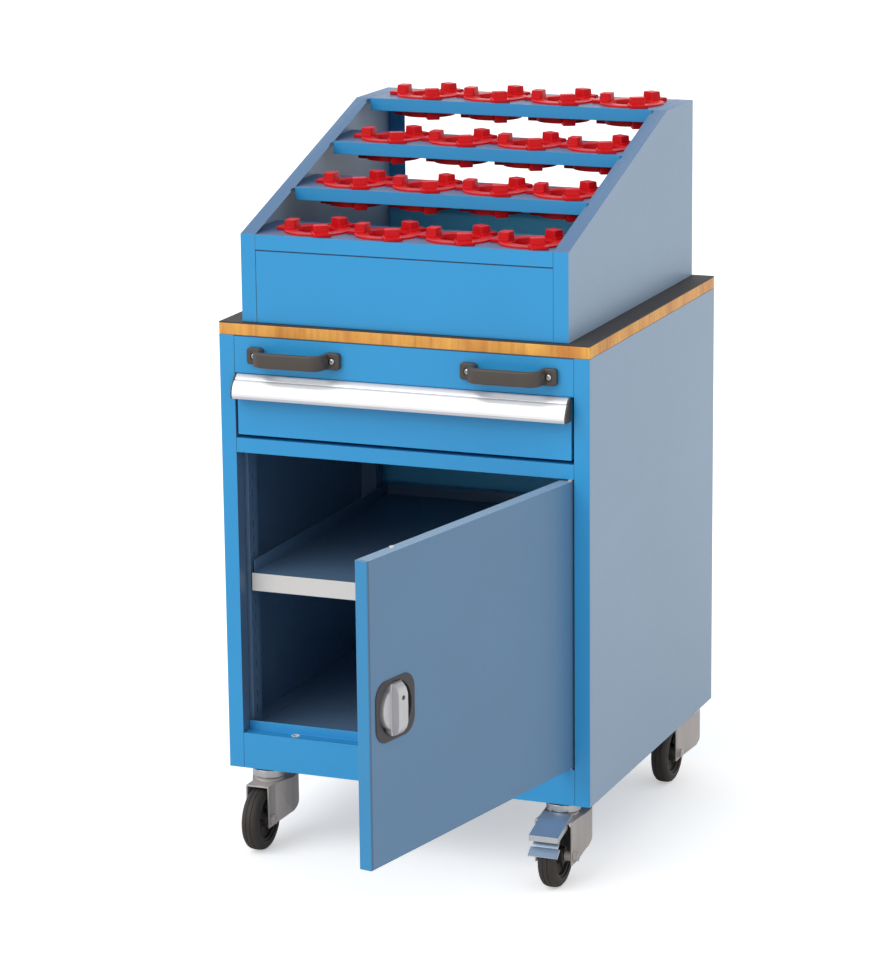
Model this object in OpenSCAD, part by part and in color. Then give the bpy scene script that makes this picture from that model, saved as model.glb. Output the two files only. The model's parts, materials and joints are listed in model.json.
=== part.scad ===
// Mobile tool cabinet: steel body with one drawer and one door, beech top,
// and a stepped rack with sixteen moulded tool-holder inserts, on four swivel casters.
// Millimetres. X is to the right, Y to the back, Z up from the floor.

/* [Body] */
// Width of the steel body
body_w = 600; // [560:1:700]
// Depth of the steel body
body_d = 600; // [580:1:700]
// Height of the steel body without casters and top
body_h = 691; // [640:1:800]
// Sheet thickness of the body panels
sheet = 1.5; // [1:0.1:2]
// Width of each front stile
stile_w = 25; // [22:0.5:32]
// Depth of the stile's inner return
stile_return = 25; // [15:1:30]
// Height of the bottom rail
bottom_rail_h = 57; // [50:0.5:70]
// Height of the rail between cupboard and drawer
mid_rail_h = 22.5; // [18:0.5:30]
// Height of the fixed front panel above the drawer
fascia_h = 58.5; // [52:0.5:75]
// Height of the drawer bay
drawer_bay_h = 102; // [95:0.5:130]
// Width of the folds along the top and rear edges of the side panels
side_fold = 20; // [14:1:22]
// Depth of the ledge that the door closes over
ledge_d = 23; // [21.5:0.5:26]
// Height of the door stop above the ledge
stop_h = 14; // [8:0.5:20]
// Depth of the two channels that the casters bolt to
base_channel_d = 84; // [70:1:110]
// Thickness of those channels
base_channel_t = 2.5; // [2:0.1:4]
// Depth of the fascia's upper return
fascia_return = 40; // [30:1:60]
// Depth of the fascia's lower return
fascia_low_return = 30; // [22:1:40]
// Height of the folds round the cupboard floor
floor_edge_h = 20; // [14:1:30]
// Depth of the mid rail's returns
mid_rail_d = 60; // [40:1:80]

/* [Shelf] */
// Height of the shelf's top above the cupboard floor
shelf_rise = 252; // [120:1:380]
// Height of the shelf's front edge
shelf_edge_h = 28.5; // [22:0.5:40]
// Thickness of the shelf and upright sheet
shelf_sheet = 1.2; // [0.8:0.1:1.5]
// Width of each slotted upright
upright_w = 30; // [24:1:40]
// Height of a slot in the uprights
slot_h = 12; // [8:0.5:14]
// Width of a slot in the uprights
slot_w = 3.5; // [2.5:0.1:6]
// Distance from one slot to the next
slot_pitch = 25; // [20:1:50]

/* [Worktop] */
// Thickness of the beech top
top_t = 18; // [15:0.5:30]
// Thickness of the rubber mat
mat_t = 2; // [1.5:0.1:4]

/* [Rack] */
// Distance from the body's side to the rack
rack_margin = 36; // [30:1:40]
// Distance from the body's front to the rack
rack_setback = 8.7; // [2:0.1:20]
// Distance from the rack to the body's back
rack_rear_gap = 6; // [2:0.5:20]
// Height of the rack's front above the mat
rack_front_h = 135.3; // [110:0.1:180]
// Depth of a tier's plate
tier_d = 129.9; // [126:0.1:131]
// Rise from one tier to the next
tier_rise = 49.6; // [42:0.1:60]
// Height of a tier's front fold
tier_fold = 20; // [14:0.5:24]
// Height of the lowest tier's front fold
first_fold = 24; // [18:0.5:34]
// Height of a tier's rear fold
tier_rear_fold = 15; // [10:0.5:18]
// Sheet thickness of the rack
rack_sheet = 1.5; // [1:0.1:2]
// Width of the side panels' front, sloping and top folds
rack_fold = 24; // [18:0.5:26]
// Width of the side panels' rear fold
rack_rear_fold = 30; // [20:0.5:40]
// Height of the rack's rear panel
rack_back_h = 90; // [60:1:120]

/* [Tool-holder inserts] */
// Bore of an insert
insert_bore = 64; // [50:0.5:68]
// Diameter of the round part of the flange
insert_flange = 102; // [94:0.5:104]
// Thickness of the flange
flange_t = 3; // [2.5:0.1:6]
// Diameter of the collar below the plate
collar_dia = 86; // [80:0.5:88]
// Depth of the collar below the plate's top
collar_h = 31; // [20:0.5:36]
// Height of a lug above the flange
lug_h = 13; // [8:0.5:22]
// Width of a lug at its foot
lug_w = 28; // [24:0.5:36]
// Length of a lug along its spoke
lug_len = 24; // [20:0.5:28]
// Width lost on each side of a lug up to its top
lug_taper = 3; // [1:0.1:5]
// Distance from the bore's centre to the tip of the flange's tongue under a lug
lug_reach = 63; // [61:0.5:64]
// Width of a tier that its row of inserts leaves free
insert_room = 61; // [59:1:64]
// Sideways shift of the row of inserts from the middle
insert_shift = 11.5; // [8:0.1:12]
// Distance from a tier's front edge to the bore centres
insert_setback = 60.5; // [58:0.1:64]

/* [Bow handles] */
// Distance between the two handles' centres
handle_spread = 348; // [300:1:380]
// Distance between the two screws of a handle
handle_screw_pitch = 128; // [120:1:140]
// Overall length of a handle
handle_len = 153; // [148:1:170]
// Height of a handle's feet
handle_foot_h = 28; // [22:0.5:32]
// Thickness of a handle's feet
handle_foot_t = 9; // [6:0.5:12]
// Height of the handle's bar
handle_bar_h = 25; // [18:0.5:28]
// Thickness of the handle's bar
handle_bar_t = 9; // [7:0.5:11]
// Reach of the handle in front of the panel
handle_reach = 42; // [34:0.5:50]

/* [Drawer] */
// Gap beside and above the drawer front
drawer_gap = 2.5; // [1.5:0.1:3.5]
// Gap below the drawer front
drawer_gap_low = 4.5; // [3:0.1:6]
// Depth of the drawer front's folds
drawer_front_d = 18; // [14:0.5:24]
// Length of the drawer tray
tray_len = 500; // [450:1:510]
// Height of the drawer tray
tray_h = 82; // [60:1:86]
// Sheet thickness of the drawer
drawer_sheet = 1.2; // [0.8:0.1:1.5]
// Height of the grip rail
grip_h = 36; // [30:0.5:42]
// Reach of the grip rail in front of the drawer
grip_reach = 26; // [20:0.5:32]
// Wall thickness of the grip rail
grip_wall = 2; // [1.5:0.1:3]
// Width of the rail's end caps
cap_w = 9; // [6:0.5:12]
// Length of the drawer slides
slide_len = 490; // [430:1:500]
// Height of the drawer slides
slide_h = 45; // [40:0.5:50]

/* [Door] */
// Rest opening of the door in degrees
door_open = 78.5; // [0:0.5:110]
// Thickness of the door
door_t = 20; // [18:0.5:21]
// Sheet thickness of the door
door_sheet = 1.2; // [0.8:0.1:1.5]
// Gap above and below the door
door_gap = 3; // [2.5:0.1:4]
// Gap beside the door's free edge
door_free_gap = 2; // [1.5:0.1:3]
// Gap beside the door's hinge edge
door_hinge_gap = 2.6; // [2.5:0.1:3.5]
// Distance of the hinge axis from the door's front and hinge edge
pin_inset = 4.7; // [4.7:0.1:5]
// Diameter of the hinge pins
pin_dia = 5; // [4:0.1:5]
// Diameter of the bushes round the pins
bush_dia = 6.8; // [6.4:0.1:6.8]
// Depth of the bushes in the door
bush_h = 12; // [8:0.5:20]

/* [Latch] */
// Distance of the latch from the door's hinge edge
latch_from_hinge = 482; // [470:1:484]
// Height of the latch above the body's underside
latch_z = 281; // [230:1:330]
// Width of the latch bowl
bowl_w = 96; // [90:1:100]
// Height of the latch bowl
bowl_h = 89; // [86:1:100]
// Depth of the latch bowl behind the door's face
bowl_d = 8; // [7:0.1:8.5]
// Diameter of the turn handle's disc
dial_dia = 76; // [70:1:78]
// Width of the turn handle's grip
dial_grip_w = 21; // [16:0.5:26]
// Reach of the grip in front of the door
dial_reach = 20; // [12:0.5:26]
// Diameter of the latch shaft
shaft_dia = 12; // [10:0.5:14]
// Diameter of the latch rods
rod_dia = 7; // [6:0.1:8]
// Distance from the latch shaft to the rods
rod_offset = 18; // [17:0.5:24]
// Travel of the latch rods
rod_travel = 10; // [8:0.5:12]
// Distance of the rods' axis behind the door's face
rod_depth = 13.5; // [13:0.1:13.8]

/* [Casters] */
// Diameter of the wheels
wheel_dia = 100; // [80:1:104]
// Width of the wheels
wheel_w = 28; // [24:0.5:29]
// Distance from the body's side to a swivel axis
swivel_inset_x = 54; // [52:0.5:70]
// Distance from the body's front or back to a swivel axis
swivel_inset_y = 32; // [30:0.5:50]
// Distance from the swivel axis to the wheel's axle
trail = 37; // [30:0.5:40]
// Diameter of the fixed caster head
head_dia = 54; // [46:0.5:58]
// Gap from the body to the top of the fork
head_h = 22.5; // [18:0.5:28]
// Gap from the top of the fork to the tyre
tyre_gap = 5.5; // [5:0.5:8]
// Diameter of the swivel pin
swivel_pin_dia = 14; // [12:0.5:16]
// Half the fork's outside width round its back
fork_half_w = 34; // [32:0.5:36]
// Half the outside width of a plain fork's legs
leg_half = 19.5; // [19:0.5:24]
// Half the outside width of the braked fork's legs
braked_leg_half = 30; // [28:0.5:32]
// Distance from the swivel axis to the fork's rear
fork_rear = 53; // [44:0.5:58]
// Sheet thickness of the fork
fork_t = 2.5; // [2:0.1:3]
// Diameter of the axle sleeve that the wheel turns on
axle_dia = 12; // [10:0.5:15]
// Diameter of the axle bolt
bolt_dia = 8; // [6:0.5:10]
// Width of the brake cover
brake_w = 47; // [40:0.5:52]

/* [Fits] */
// Radial clearance of turning and sliding fits
run_clear = 0.05; // [0.03:0.01:0.1]
// Gap between pieces that move past each other
gap = 0.3; // [0.3:0.05:0.5]

/* [Hidden] */
$fn = 48;

// Heights above the floor, from the bottom up
wheel_r = wheel_dia / 2;
fork_top = wheel_dia + tyre_gap;
body_z = fork_top + head_h;
ledge_z = body_z + bottom_rail_h;
drawer_bay_top = body_z + body_h - fascia_h;
drawer_bay_z = drawer_bay_top - drawer_bay_h;
cupboard_top = drawer_bay_z - mid_rail_h;
body_top = body_z + body_h;
wood_top = body_top + top_t;
mat_top = wood_top + mat_t;

// Half widths of the body
half_w = body_w / 2;
bay_half = half_w - stile_w;
inner_half = half_w - sheet;
rail_half = bay_half - gap;
back_y = body_d - 2 * sheet;

// Shelf and uprights
upright_face = bay_half - 4;
upright_y = stile_return + 7;
upright_rear_y = back_y - upright_y + sheet;
shelf_half = upright_face - 3;
shelf_top = ledge_z + shelf_rise;
shelf_y = upright_y - 2;
shelf_rear = back_y - 22;
shelf_side_h = 20;
clip_t = 1.5;
clip_w = 18;
slot_margin = 20;

// Rack
rack_half = half_w - rack_margin;
rack_inner = rack_half - rack_sheet;
rack_bay = rack_half - rack_fold;
rack_y = rack_setback;
rack_rear = body_d - rack_rear_gap;
tier_count = 4;
insert_count = 4;
tier_pitch = (rack_rear - rack_sheet - gap - tier_d - rack_y) / (tier_count - 1);
function tier_y(i) = rack_y + i * tier_pitch;
function tier_z(i) = mat_top + rack_front_h + i * tier_rise;
rack_top = tier_z(tier_count - 1);
rack_top_y = tier_y(tier_count - 1);
rack_front_return = 4.5;
rack_foot_return = 15;
rack_back_return = 10;
slope = atan2(tier_rise, tier_pitch);
tier_step = 6;
notch_w = 3;
notch_l = 12;

// Inserts
lug_angles = [60, 180, 300];
bore_r = insert_bore / 2;
lug_in = bore_r + 1.5;
lug_out = lug_in + lug_len;
lug_block_w = lug_w - 8;
insert_pitch = (2 * rack_inner - insert_room) / insert_count;
lug_block_reach = lug_reach - 6;
function insert_x(i) = insert_shift + (i - (insert_count - 1) / 2) * insert_pitch;

// Handles
handle_z = body_top - fascia_h / 2;
handle_foot = handle_len - handle_screw_pitch;
leg_x = handle_screw_pitch / 2 - 8;
screw_r = 2.5;
screw_head_r = 5;
screw_head_h = 2.5;

// Drawer
drawer_half = bay_half - drawer_gap;
drawer_z0 = drawer_bay_z + drawer_gap_low;
drawer_z1 = drawer_bay_top - drawer_gap;
grip_z1 = drawer_bay_top - gap;
grip_z0 = grip_z1 - grip_h;
grip_half = drawer_half - 1 - cap_w;
grip_top = [-8, grip_h - 3];
grip_foot = [-grip_reach, 4];
grip_arc_r = 46;
slide_t = 12.7;
slide_metal = 1.4;
slide_z = drawer_bay_z + 49;
slide_y = stile_return + 3;
slide_face = bay_half - gap;
slide_y1 = slide_y + slide_len;
middle_half = slide_h / 2 - slide_metal - gap;
inner_member_half = middle_half - slide_metal - gap;
tray_half = slide_face - slide_t;
tray_z0 = drawer_z0 + 3;
tray_y = drawer_front_d;

// Door, drawn closed and turned to its rest opening
door_x0 = -bay_half + door_free_gap;
door_x1 = bay_half - door_hinge_gap;
door_z0 = ledge_z + door_gap;
door_z1 = cupboard_top - door_gap;
pin_x = door_x1 - pin_inset;
pin_y = pin_inset;
pin_collar_r = 4.2;
edge_r = 1.5;
guide_from_end = 24;
guide_h = 4;
pan_rib_d = 12;

// Latch
latch_x = door_x1 - latch_from_hinge;
latch_h = body_z + latch_z;
rod_x = latch_x + rod_offset;
rod_y = rod_depth;
crank_r = rod_travel / sqrt(2);
crank_pin_r = 2.5;
crank_sag = 0.6;
lug_y0 = rod_depth - 0.5;
lug_y1 = lug_y0 + 3;
cam_y0 = bowl_d + 1.8;
cam_t = 2.4;
rod_proud = door_gap - 0.8;
rod_r = rod_dia / 2;
boss_d = 1.5;
dial_r = dial_dia / 2;
recess_r = dial_r + 1.5;
recess_d = bowl_d - 1.5;
bowl_lip = 1.5;

// Casters
swivel_x = half_w - swivel_inset_x;
swivel_front = swivel_inset_y;
swivel_back = body_d - swivel_inset_y;
head_race_h = 4;
race_r = head_dia / 2 - 3;
swivel_r = swivel_pin_dia / 2;
fork_front = trail + 11;
leg_end = trail - 13;
flare_end = 10;
fork_corner = fork_half_w - 10;
leg_drop = 12;
hub_r = wheel_r * 0.7;
hub_half = wheel_w / 2 + 1;
hub_boss_r = 13;
axle_r = axle_dia / 2;
bolt_r = bolt_dia / 2;
bolt_head_r = 7.5;
bolt_head_h = 5.5;
washer_t = 1.5;

// Brake, measured from the front right swivel axis
cover_back = -head_dia / 2 - 1.5;
cover_front = -trail - 55;
cover_slope = 0.28;
cover_t = 2;
cheek_h = 11;
cover_lip_z = cover_slope_z(cover_front) - cheek_h + 2;
function cover_slope_z(y) = fork_top + gap + cover_t + cover_slope * (y + fork_front + gap);
pedal_pivot_y = -trail - 25;
pedal_pivot_z = cover_slope_z(pedal_pivot_y) - cover_t - 3;
pedal_pin_r = 2;
pedal_in = wheel_r + 1;
pedal_band = 3;

// The origin is on the floor, under the middle of everything that stands there
door_span = pin_x - door_x0;
door_front = pin_y - door_span * sin(door_open) - pin_inset * cos(door_open);
rear_end = swivel_back + fork_rear;
middle_y = (min(door_front, swivel_front - trail - wheel_r) + rear_end) / 2;

// Shared shapes

function unit(v) = v / norm(v);
function left_of(v) = [-v[1], v[0]];

// Convex anticlockwise outline moved inwards by d
function inset(p, d) = [for (i = [0:len(p) - 1])
    let (a = p[(i + len(p) - 1) % len(p)], b = p[i], c = p[(i + 1) % len(p)],
        m = left_of(unit(b - a)), n = left_of(unit(c - b)))
    b + d * (m + n) / (1 + m * n)];

function rect(x0, y0, x1, y1) = [[x0, y0], [x1, y0], [x1, y1], [x0, y1]];

// Convex anticlockwise outline with its corners rounded to radius r
module round_outline(p, r) {
    q = inset(p, r);
    polygon(q);
    for (i = [0:len(q) - 1]) {
        a = q[i];
        b = q[(i + 1) % len(q)];
        out = -r * left_of(unit(b - a));
        polygon([a, a + out, b + out, b]);
        translate(a) circle(r);
    }
}

module block(lo, hi) {
    translate(lo) cube(hi - lo);
}

// Extrudes a profile drawn in Y and Z along X
module along_x(x0, x1) {
    translate([x0, 0, 0]) rotate([90, 0, 90]) linear_extrude(x1 - x0) children();
}

// Extrudes a profile drawn in X and Z along Y
module along_y(y0, y1) {
    translate([0, y1, 0]) rotate([90, 0, 0]) linear_extrude(y1 - y0) children();
}

module along_z(z0, z1) {
    translate([0, 0, z0]) linear_extrude(z1 - z0) children();
}

module rod_along_x(x0, x1, r) {
    translate([x0, 0, 0]) rotate([0, 90, 0]) cylinder(r = r, h = x1 - x0);
}

module rod_along_y(y0, y1, r) {
    translate([0, y1, 0]) rotate([90, 0, 0]) cylinder(r = r, h = y1 - y0);
}

module on_left() {
    mirror([1, 0, 0]) children();
}

module both_sides() {
    children();
    on_left() children();
}

// Body

module side_panel() {
    color("lightsteelblue") intersection() {
        along_z(body_z, body_top)
            round_outline(rect(bay_half - 10, 0, half_w, body_d), edge_r);
        union() {
            block([inner_half, 0, body_z], [half_w, body_d, body_top]);
            block([bay_half, 0, body_z], [half_w, sheet, body_top]);
            block([bay_half, 0, body_z], [bay_half + sheet, stile_return, body_top]);
            block([bay_half, stile_return - sheet, body_z],
                [bay_half + stile_w / 2, stile_return, body_top]);
            block([half_w - side_fold, body_d - sheet, body_z], [half_w, body_d, body_top]);
            block([half_w - side_fold, 0, body_top - sheet], [half_w, body_d, body_top]);
            block([bay_half, 0, body_z], [half_w, body_d, body_z + sheet]);
        }
    }
}

module side_panel_left() {
    on_left() side_panel();
}

module side_panel_right() {
    side_panel();
}

module back_panel() {
    color("steelblue")
        block([-inner_half + gap, back_y, body_z + sheet + gap],
            [inner_half - gap, back_y + sheet, body_top - sheet - gap]);
}

module floor_pan() {
    y0 = ledge_d + sheet + gap;
    y1 = back_y - gap;
    color("midnightblue") {
        difference() {
            block([-rail_half, y0, ledge_z - floor_edge_h], [rail_half, y1, ledge_z]);
            block([-rail_half + sheet, y0 + sheet, ledge_z - floor_edge_h - 1],
                [rail_half - sheet, y1 - sheet, ledge_z - sheet]);
        }
    }
}

// One pressed channel, open at the top, with its front wall at y0
module base_channel(y0) {
    top = ledge_z - sheet;
    half = rail_half - sheet - gap;
    difference() {
        block([-half, y0, body_z], [half, y0 + base_channel_d, top]);
        block([-half - 1, y0 + base_channel_t, body_z + base_channel_t],
            [half + 1, y0 + base_channel_d - base_channel_t, top + 1]);
        for (x = [-swivel_x, swivel_x])
            translate([x, y0 < body_d / 2 ? swivel_front : swivel_back, body_z - 1])
                cylinder(r = swivel_r + 1, h = base_channel_t + 2);
    }
}

module base_channels() {
    color("steelblue") {
        base_channel(sheet + 1);
        base_channel(back_y - sheet - 2 * gap - base_channel_d);
    }
}

module bottom_rail() {
    color("dodgerblue") difference() {
        union() {
            block([-rail_half, 0, body_z], [rail_half, sheet, ledge_z]);
            block([-rail_half, 0, ledge_z - sheet], [rail_half, ledge_d + sheet, ledge_z]);
            block([-rail_half, ledge_d, ledge_z - sheet],
                [rail_half, ledge_d + sheet, ledge_z + stop_h]);
        }
        translate([rod_x, rod_y, ledge_z - sheet - 1]) cylinder(r = rod_r + 2, h = sheet + 2);
    }
}

module mid_rail() {
    color("dodgerblue") difference() {
        union() {
            block([-rail_half, 0, cupboard_top], [rail_half, sheet, drawer_bay_z]);
            block([-rail_half, 0, cupboard_top], [rail_half, mid_rail_d, cupboard_top + sheet]);
            block([-rail_half, 0, drawer_bay_z - sheet], [rail_half, mid_rail_d, drawer_bay_z]);
        }
        translate([rod_x, rod_y, cupboard_top - 1]) cylinder(r = rod_r + 2, h = sheet + 2);
    }
}

module at_screws() {
    for (side = [-1, 1], end = [-1, 1])
        translate([side * handle_spread / 2 + end * handle_screw_pitch / 2, 0, handle_z])
            children();
}

module top_fascia() {
    color("dodgerblue") difference() {
        union() {
            block([-rail_half, 0, drawer_bay_top], [rail_half, sheet, body_top]);
            block([-rail_half, 0, body_top - sheet], [rail_half, fascia_return, body_top]);
            block([-rail_half, 0, drawer_bay_top], [rail_half, fascia_low_return, drawer_bay_top + sheet]);
        }
        at_screws() rod_along_y(-1, sheet + 1, screw_r + run_clear);
    }
}

module top_rear_rail() {
    half = half_w - side_fold - gap;
    y1 = back_y - gap;
    color("steelblue") {
        block([-half, y1 - fascia_return, body_top - sheet], [half, y1, body_top]);
        block([-half, y1 - sheet, body_top - fascia_return], [half, y1, body_top]);
    }
}

// One slotted upright with its front edge at y = 0, facing the middle of the cupboard
module upright(z0, z1) {
    slots = floor((z1 - z0 - 2 * slot_margin - slot_h) / slot_pitch);
    difference() {
        block([upright_face, 0, z0], [inner_half - gap, upright_w, z1]);
        block([upright_face + shelf_sheet, shelf_sheet, z0 - 1],
            [half_w, upright_w - shelf_sheet, z1 + 1]);
        for (i = [0:slots])
            translate([upright_face - 1, (upright_w - slot_w) / 2, z0 + slot_margin + i * slot_pitch])
                cube([shelf_sheet + 2, slot_w, slot_h]);
    }
}

module shelf_uprights() {
    color("midnightblue") both_sides()
        for (y = [upright_y, upright_rear_y - upright_w])
            translate([0, y, 0]) upright(ledge_z + gap, cupboard_top - gap);
}

module shelf() {
    color("gainsboro") difference() {
        union() {
            block([-shelf_half, shelf_y, shelf_top - shelf_edge_h],
                [shelf_half, shelf_rear, shelf_top]);
        }
        block([-shelf_half + shelf_sheet, shelf_y + shelf_sheet, shelf_top - shelf_edge_h - 1],
            [shelf_half - shelf_sheet, shelf_rear - shelf_sheet, shelf_top - shelf_sheet]);
        for (x0 = [-shelf_half - 1, shelf_half - shelf_sheet - 1])
            block([x0, shelf_y + 8, shelf_top - shelf_edge_h - 1],
                [x0 + shelf_sheet + 2, shelf_rear - 8, shelf_top - shelf_side_h]);
    }
}

// A clip hooks into the upright and carries the shelf's side edge
module shelf_clip(y) {
    z1 = shelf_top - shelf_side_h - gap;
    block([shelf_half - 10, y, z1 - clip_t], [upright_face, y + clip_w, z1]);
    block([upright_face - clip_t, y, z1 - clip_t], [upright_face, y + clip_w, z1 + 14]);
}

module shelf_clips() {
    inset_y = (upright_w - clip_w) / 2;
    color("silver") both_sides() {
        shelf_clip(upright_y + inset_y);
        shelf_clip(upright_rear_y - upright_w + inset_y);
    }
}

module worktop() {
    color("burlywood") along_z(body_top, wood_top)
        round_outline(rect(-half_w, 0, half_w, body_d), 1);
}

module mat() {
    color("dimgray") along_z(wood_top, mat_top)
        round_outline(rect(-half_w + 0.5, 0.5, half_w - 0.5, body_d - 0.5), 2);
}

// Rack

function rack_outline() = [[rack_y, mat_top], [rack_rear, mat_top], [rack_rear, rack_top],
    [rack_top_y, rack_top], [rack_y, tier_z(0)]];

module rack_side() {
    outline = rack_outline();
    skin = inset(outline, rack_sheet);
    color("lightsteelblue") difference() {
        union() {
            along_x(rack_half - rack_sheet, rack_half) polygon(outline);
            along_x(rack_bay, rack_half) difference() {
                polygon(outline);
                polygon([[skin[0][0], mat_top - 1], [skin[1][0], mat_top - 1],
                    skin[2], skin[3], skin[4]]);
            }
            block([rack_half - rack_rear_fold, rack_rear - rack_sheet, mat_top],
                [rack_half, rack_rear, rack_top]);
        }
        for (i = [1:tier_count - 1])
            translate([rack_bay - 1, tier_y(i), tier_z(i)]) rotate([slope, 0, 0])
                translate([0, -notch_l - 2, -2 * rack_sheet])
                    cube([notch_w + 1, notch_l, 3 * rack_sheet]);
    }
}

module rack_side_left() {
    on_left() rack_side();
}

module rack_side_right() {
    rack_side();
}

module rack_front() {
    half = rack_bay - gap;
    z1 = tier_z(0) - first_fold - gap;
    color("dodgerblue") {
        block([-half, rack_y, mat_top], [half, rack_y + rack_sheet, z1]);
        block([-half, rack_y, z1 - rack_sheet], [half, rack_y + rack_front_return, z1]);
        block([-half, rack_y, mat_top], [half, rack_y + rack_foot_return, mat_top + rack_sheet]);
    }
}

module rack_back() {
    half = rack_inner - gap;
    y1 = rack_rear - rack_sheet;
    color("midnightblue") {
        block([-half, y1 - rack_sheet, mat_top], [half, y1, mat_top + rack_back_h]);
        block([-half, y1 - rack_back_return, mat_top + rack_back_h - rack_sheet],
            [half, y1, mat_top + rack_back_h]);
    }
}

// Plan of an insert's body, grown by extra, as the plate's cut-out needs it
module insert_plan(extra) {
    circle(collar_dia / 2 + extra);
    for (a = lug_angles)
        rotate(a) translate([0, -lug_block_w / 2 - extra])
            square([lug_block_reach + extra, lug_block_w + 2 * extra]);
}

module tier(i) {
    y0 = tier_y(i);
    z1 = tier_z(i);
    fold = i == 0 ? first_fold : tier_fold;
    front_half = rack_bay - gap;
    full_half = rack_inner - gap;
    top_tier = i == tier_count - 1;
    color("steelblue") difference() {
        union() {
            block([-front_half, y0, z1 - rack_sheet], [front_half, y0 + tier_d, z1]);
            block([-front_half, y0, z1 - fold], [front_half, y0 + rack_sheet, z1]);
            block([-front_half, y0 + tier_d - rack_sheet, z1 - tier_rear_fold],
                [front_half, y0 + tier_d, z1]);
            tier_ends(y0, top_tier ? z1 - rack_sheet : z1, front_half, full_half);
        }
        for (k = [0:insert_count - 1])
            translate([insert_x(k), y0 + insert_setback, z1 - collar_h])
                linear_extrude(collar_h + 1) insert_plan(gap);
    }
}

// The ends of a tier plate reach under the side panels' folds and turn down
module tier_ends(y0, z1, x0, x1) {
    both_sides() {
        block([x0 - 8, y0 + tier_step, z1 - rack_sheet], [x1, y0 + tier_d, z1]);
        block([x1 - rack_sheet, y0 + tier_step, z1 - tier_rear_fold], [x1, y0 + tier_d, z1]);
    }
}

module tier_1() tier(0);
module tier_2() tier(1);
module tier_3() tier(2);
module tier_4() tier(3);

// A lug on its tongue is the overlap of two profiles, one seen from the side and one along the spoke
module lug() {
    z1 = flange_t + lug_h;
    half = lug_w / 2;
    intersection() {
        along_y(-half, half)
            polygon([[lug_in - 1, 0], [lug_reach, 0], [lug_reach, flange_t], [lug_out, flange_t],
                [lug_out - lug_taper, z1], [lug_in + lug_taper / 2, z1], [lug_in - 1, flange_t]]);
        along_x(lug_in - 2, lug_reach + 1)
            polygon([[-half, 0], [half, 0], [half, flange_t],
                [half - lug_taper, z1], [lug_taper - half, z1], [-half, flange_t]]);
    }
}

// Moulded tool holder: bored flange, collar and three lugs, seated on the plate at z = 0
module insert() {
    difference() {
        union() {
            cylinder(d = insert_flange, h = flange_t);
            for (a = lug_angles) rotate(a) lug();
            translate([0, 0, -collar_h]) cylinder(d = collar_dia, h = collar_h);
            for (a = lug_angles) rotate(a)
                block([collar_dia / 2 - 4, -lug_block_w / 2, -collar_h - 2],
                    [lug_block_reach, lug_block_w / 2, 0]);
        }
        translate([0, 0, -collar_h - 3]) cylinder(d = insert_bore, h = collar_h + lug_h + flange_t + 4);
        translate([0, 0, flange_t - 1.5]) cylinder(r1 = bore_r, r2 = bore_r + 1.5, h = 1.5);
    }
}

module inserts(i) {
    color("crimson") for (k = [0:insert_count - 1])
        translate([insert_x(k), tier_y(i) + insert_setback, tier_z(i)]) insert();
}

module inserts_1() inserts(0);
module inserts_2() inserts(1);
module inserts_3() inserts(2);
module inserts_4() inserts(3);

// Handles on the fixed front panel

module bow_handle() {
    top = handle_bar_t + 10;
    bow = rect(-leg_x, -handle_reach, leg_x, top);
    difference() {
        union() {
            along_z(-handle_bar_h / 2, handle_bar_h / 2) difference() {
                round_outline(bow, 14);
                round_outline(inset(bow, handle_bar_t), 7);
                translate([-handle_len, -handle_foot_t / 2]) square([2 * handle_len, 2 * top]);
            }
            for (end = [-1, 1])
                along_y(-handle_foot_t, 0) round_outline(rect(
                    end * handle_screw_pitch / 2 - handle_foot / 2, -handle_foot_h / 2,
                    end * handle_screw_pitch / 2 + handle_foot / 2, handle_foot_h / 2), 5);
        }
        for (end = [-1, 1])
            translate([end * handle_screw_pitch / 2, 0, 0])
                rod_along_y(-handle_foot_t - 1, 1, screw_r + run_clear);
    }
}

module bow_handles() {
    color("#4a4642") for (side = [-1, 1])
        translate([side * handle_spread / 2, 0, handle_z]) bow_handle();
}

module handle_screws() {
    color("silver") at_screws() {
        rod_along_y(-handle_foot_t, 12, screw_r);
        translate([0, -handle_foot_t, 0]) rotate([90, 0, 0])
            cylinder(r1 = screw_head_r, r2 = screw_head_r - 1.5, h = screw_head_h);
        translate([0, sheet + 4.2, 0]) rotate([90, 0, 0]) cylinder(r = 5, h = 4, $fn = 6);
    }
}

// Drawer slides: three nested channels a side, u from the cabinet towards the drawer

function channel_outline(u0, u1, half, t) = [[u0, -half], [u1, -half], [u1, t - half],
    [u0 + t, t - half], [u0 + t, half - t], [u1, half - t], [u1, half], [u0, half]];

module slide_member(u0, u1, half, y0, y1) {
    translate([slide_face, 0, slide_z]) on_left() along_y(y0, y1)
        polygon(channel_outline(u0, u1, half, slide_metal));
}

module drawer_slides_fixed() {
    color("gainsboro") both_sides() {
        slide_member(0, 9, slide_h / 2, slide_y, slide_y1);
        for (y = [slide_y + 12, slide_y1 - 42])
            translate([0, y, slide_z]) difference() {
                block([slide_face, 0, -15], [inner_half - gap / 2, 30, 15]);
                block([slide_face - 1, -1, -15 + sheet], [inner_half - sheet, 31, 15 - sheet]);
            }
    }
}

module drawer_slides_middle() {
    color("silver") both_sides()
        slide_member(slide_metal + gap, 10, middle_half, slide_y + 6, slide_y1 - 14);
}

// The inner member opens towards the cabinet side and is fixed to the tray
module drawer_slides_inner() {
    color("gainsboro") both_sides() translate([slide_face - slide_t, 0, slide_z])
        along_y(tray_y + 2, slide_y1)
            polygon(channel_outline(0, slide_t - 2 * slide_metal - 2 * gap - 1,
                inner_member_half, slide_metal));
}

// Drawer

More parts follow.
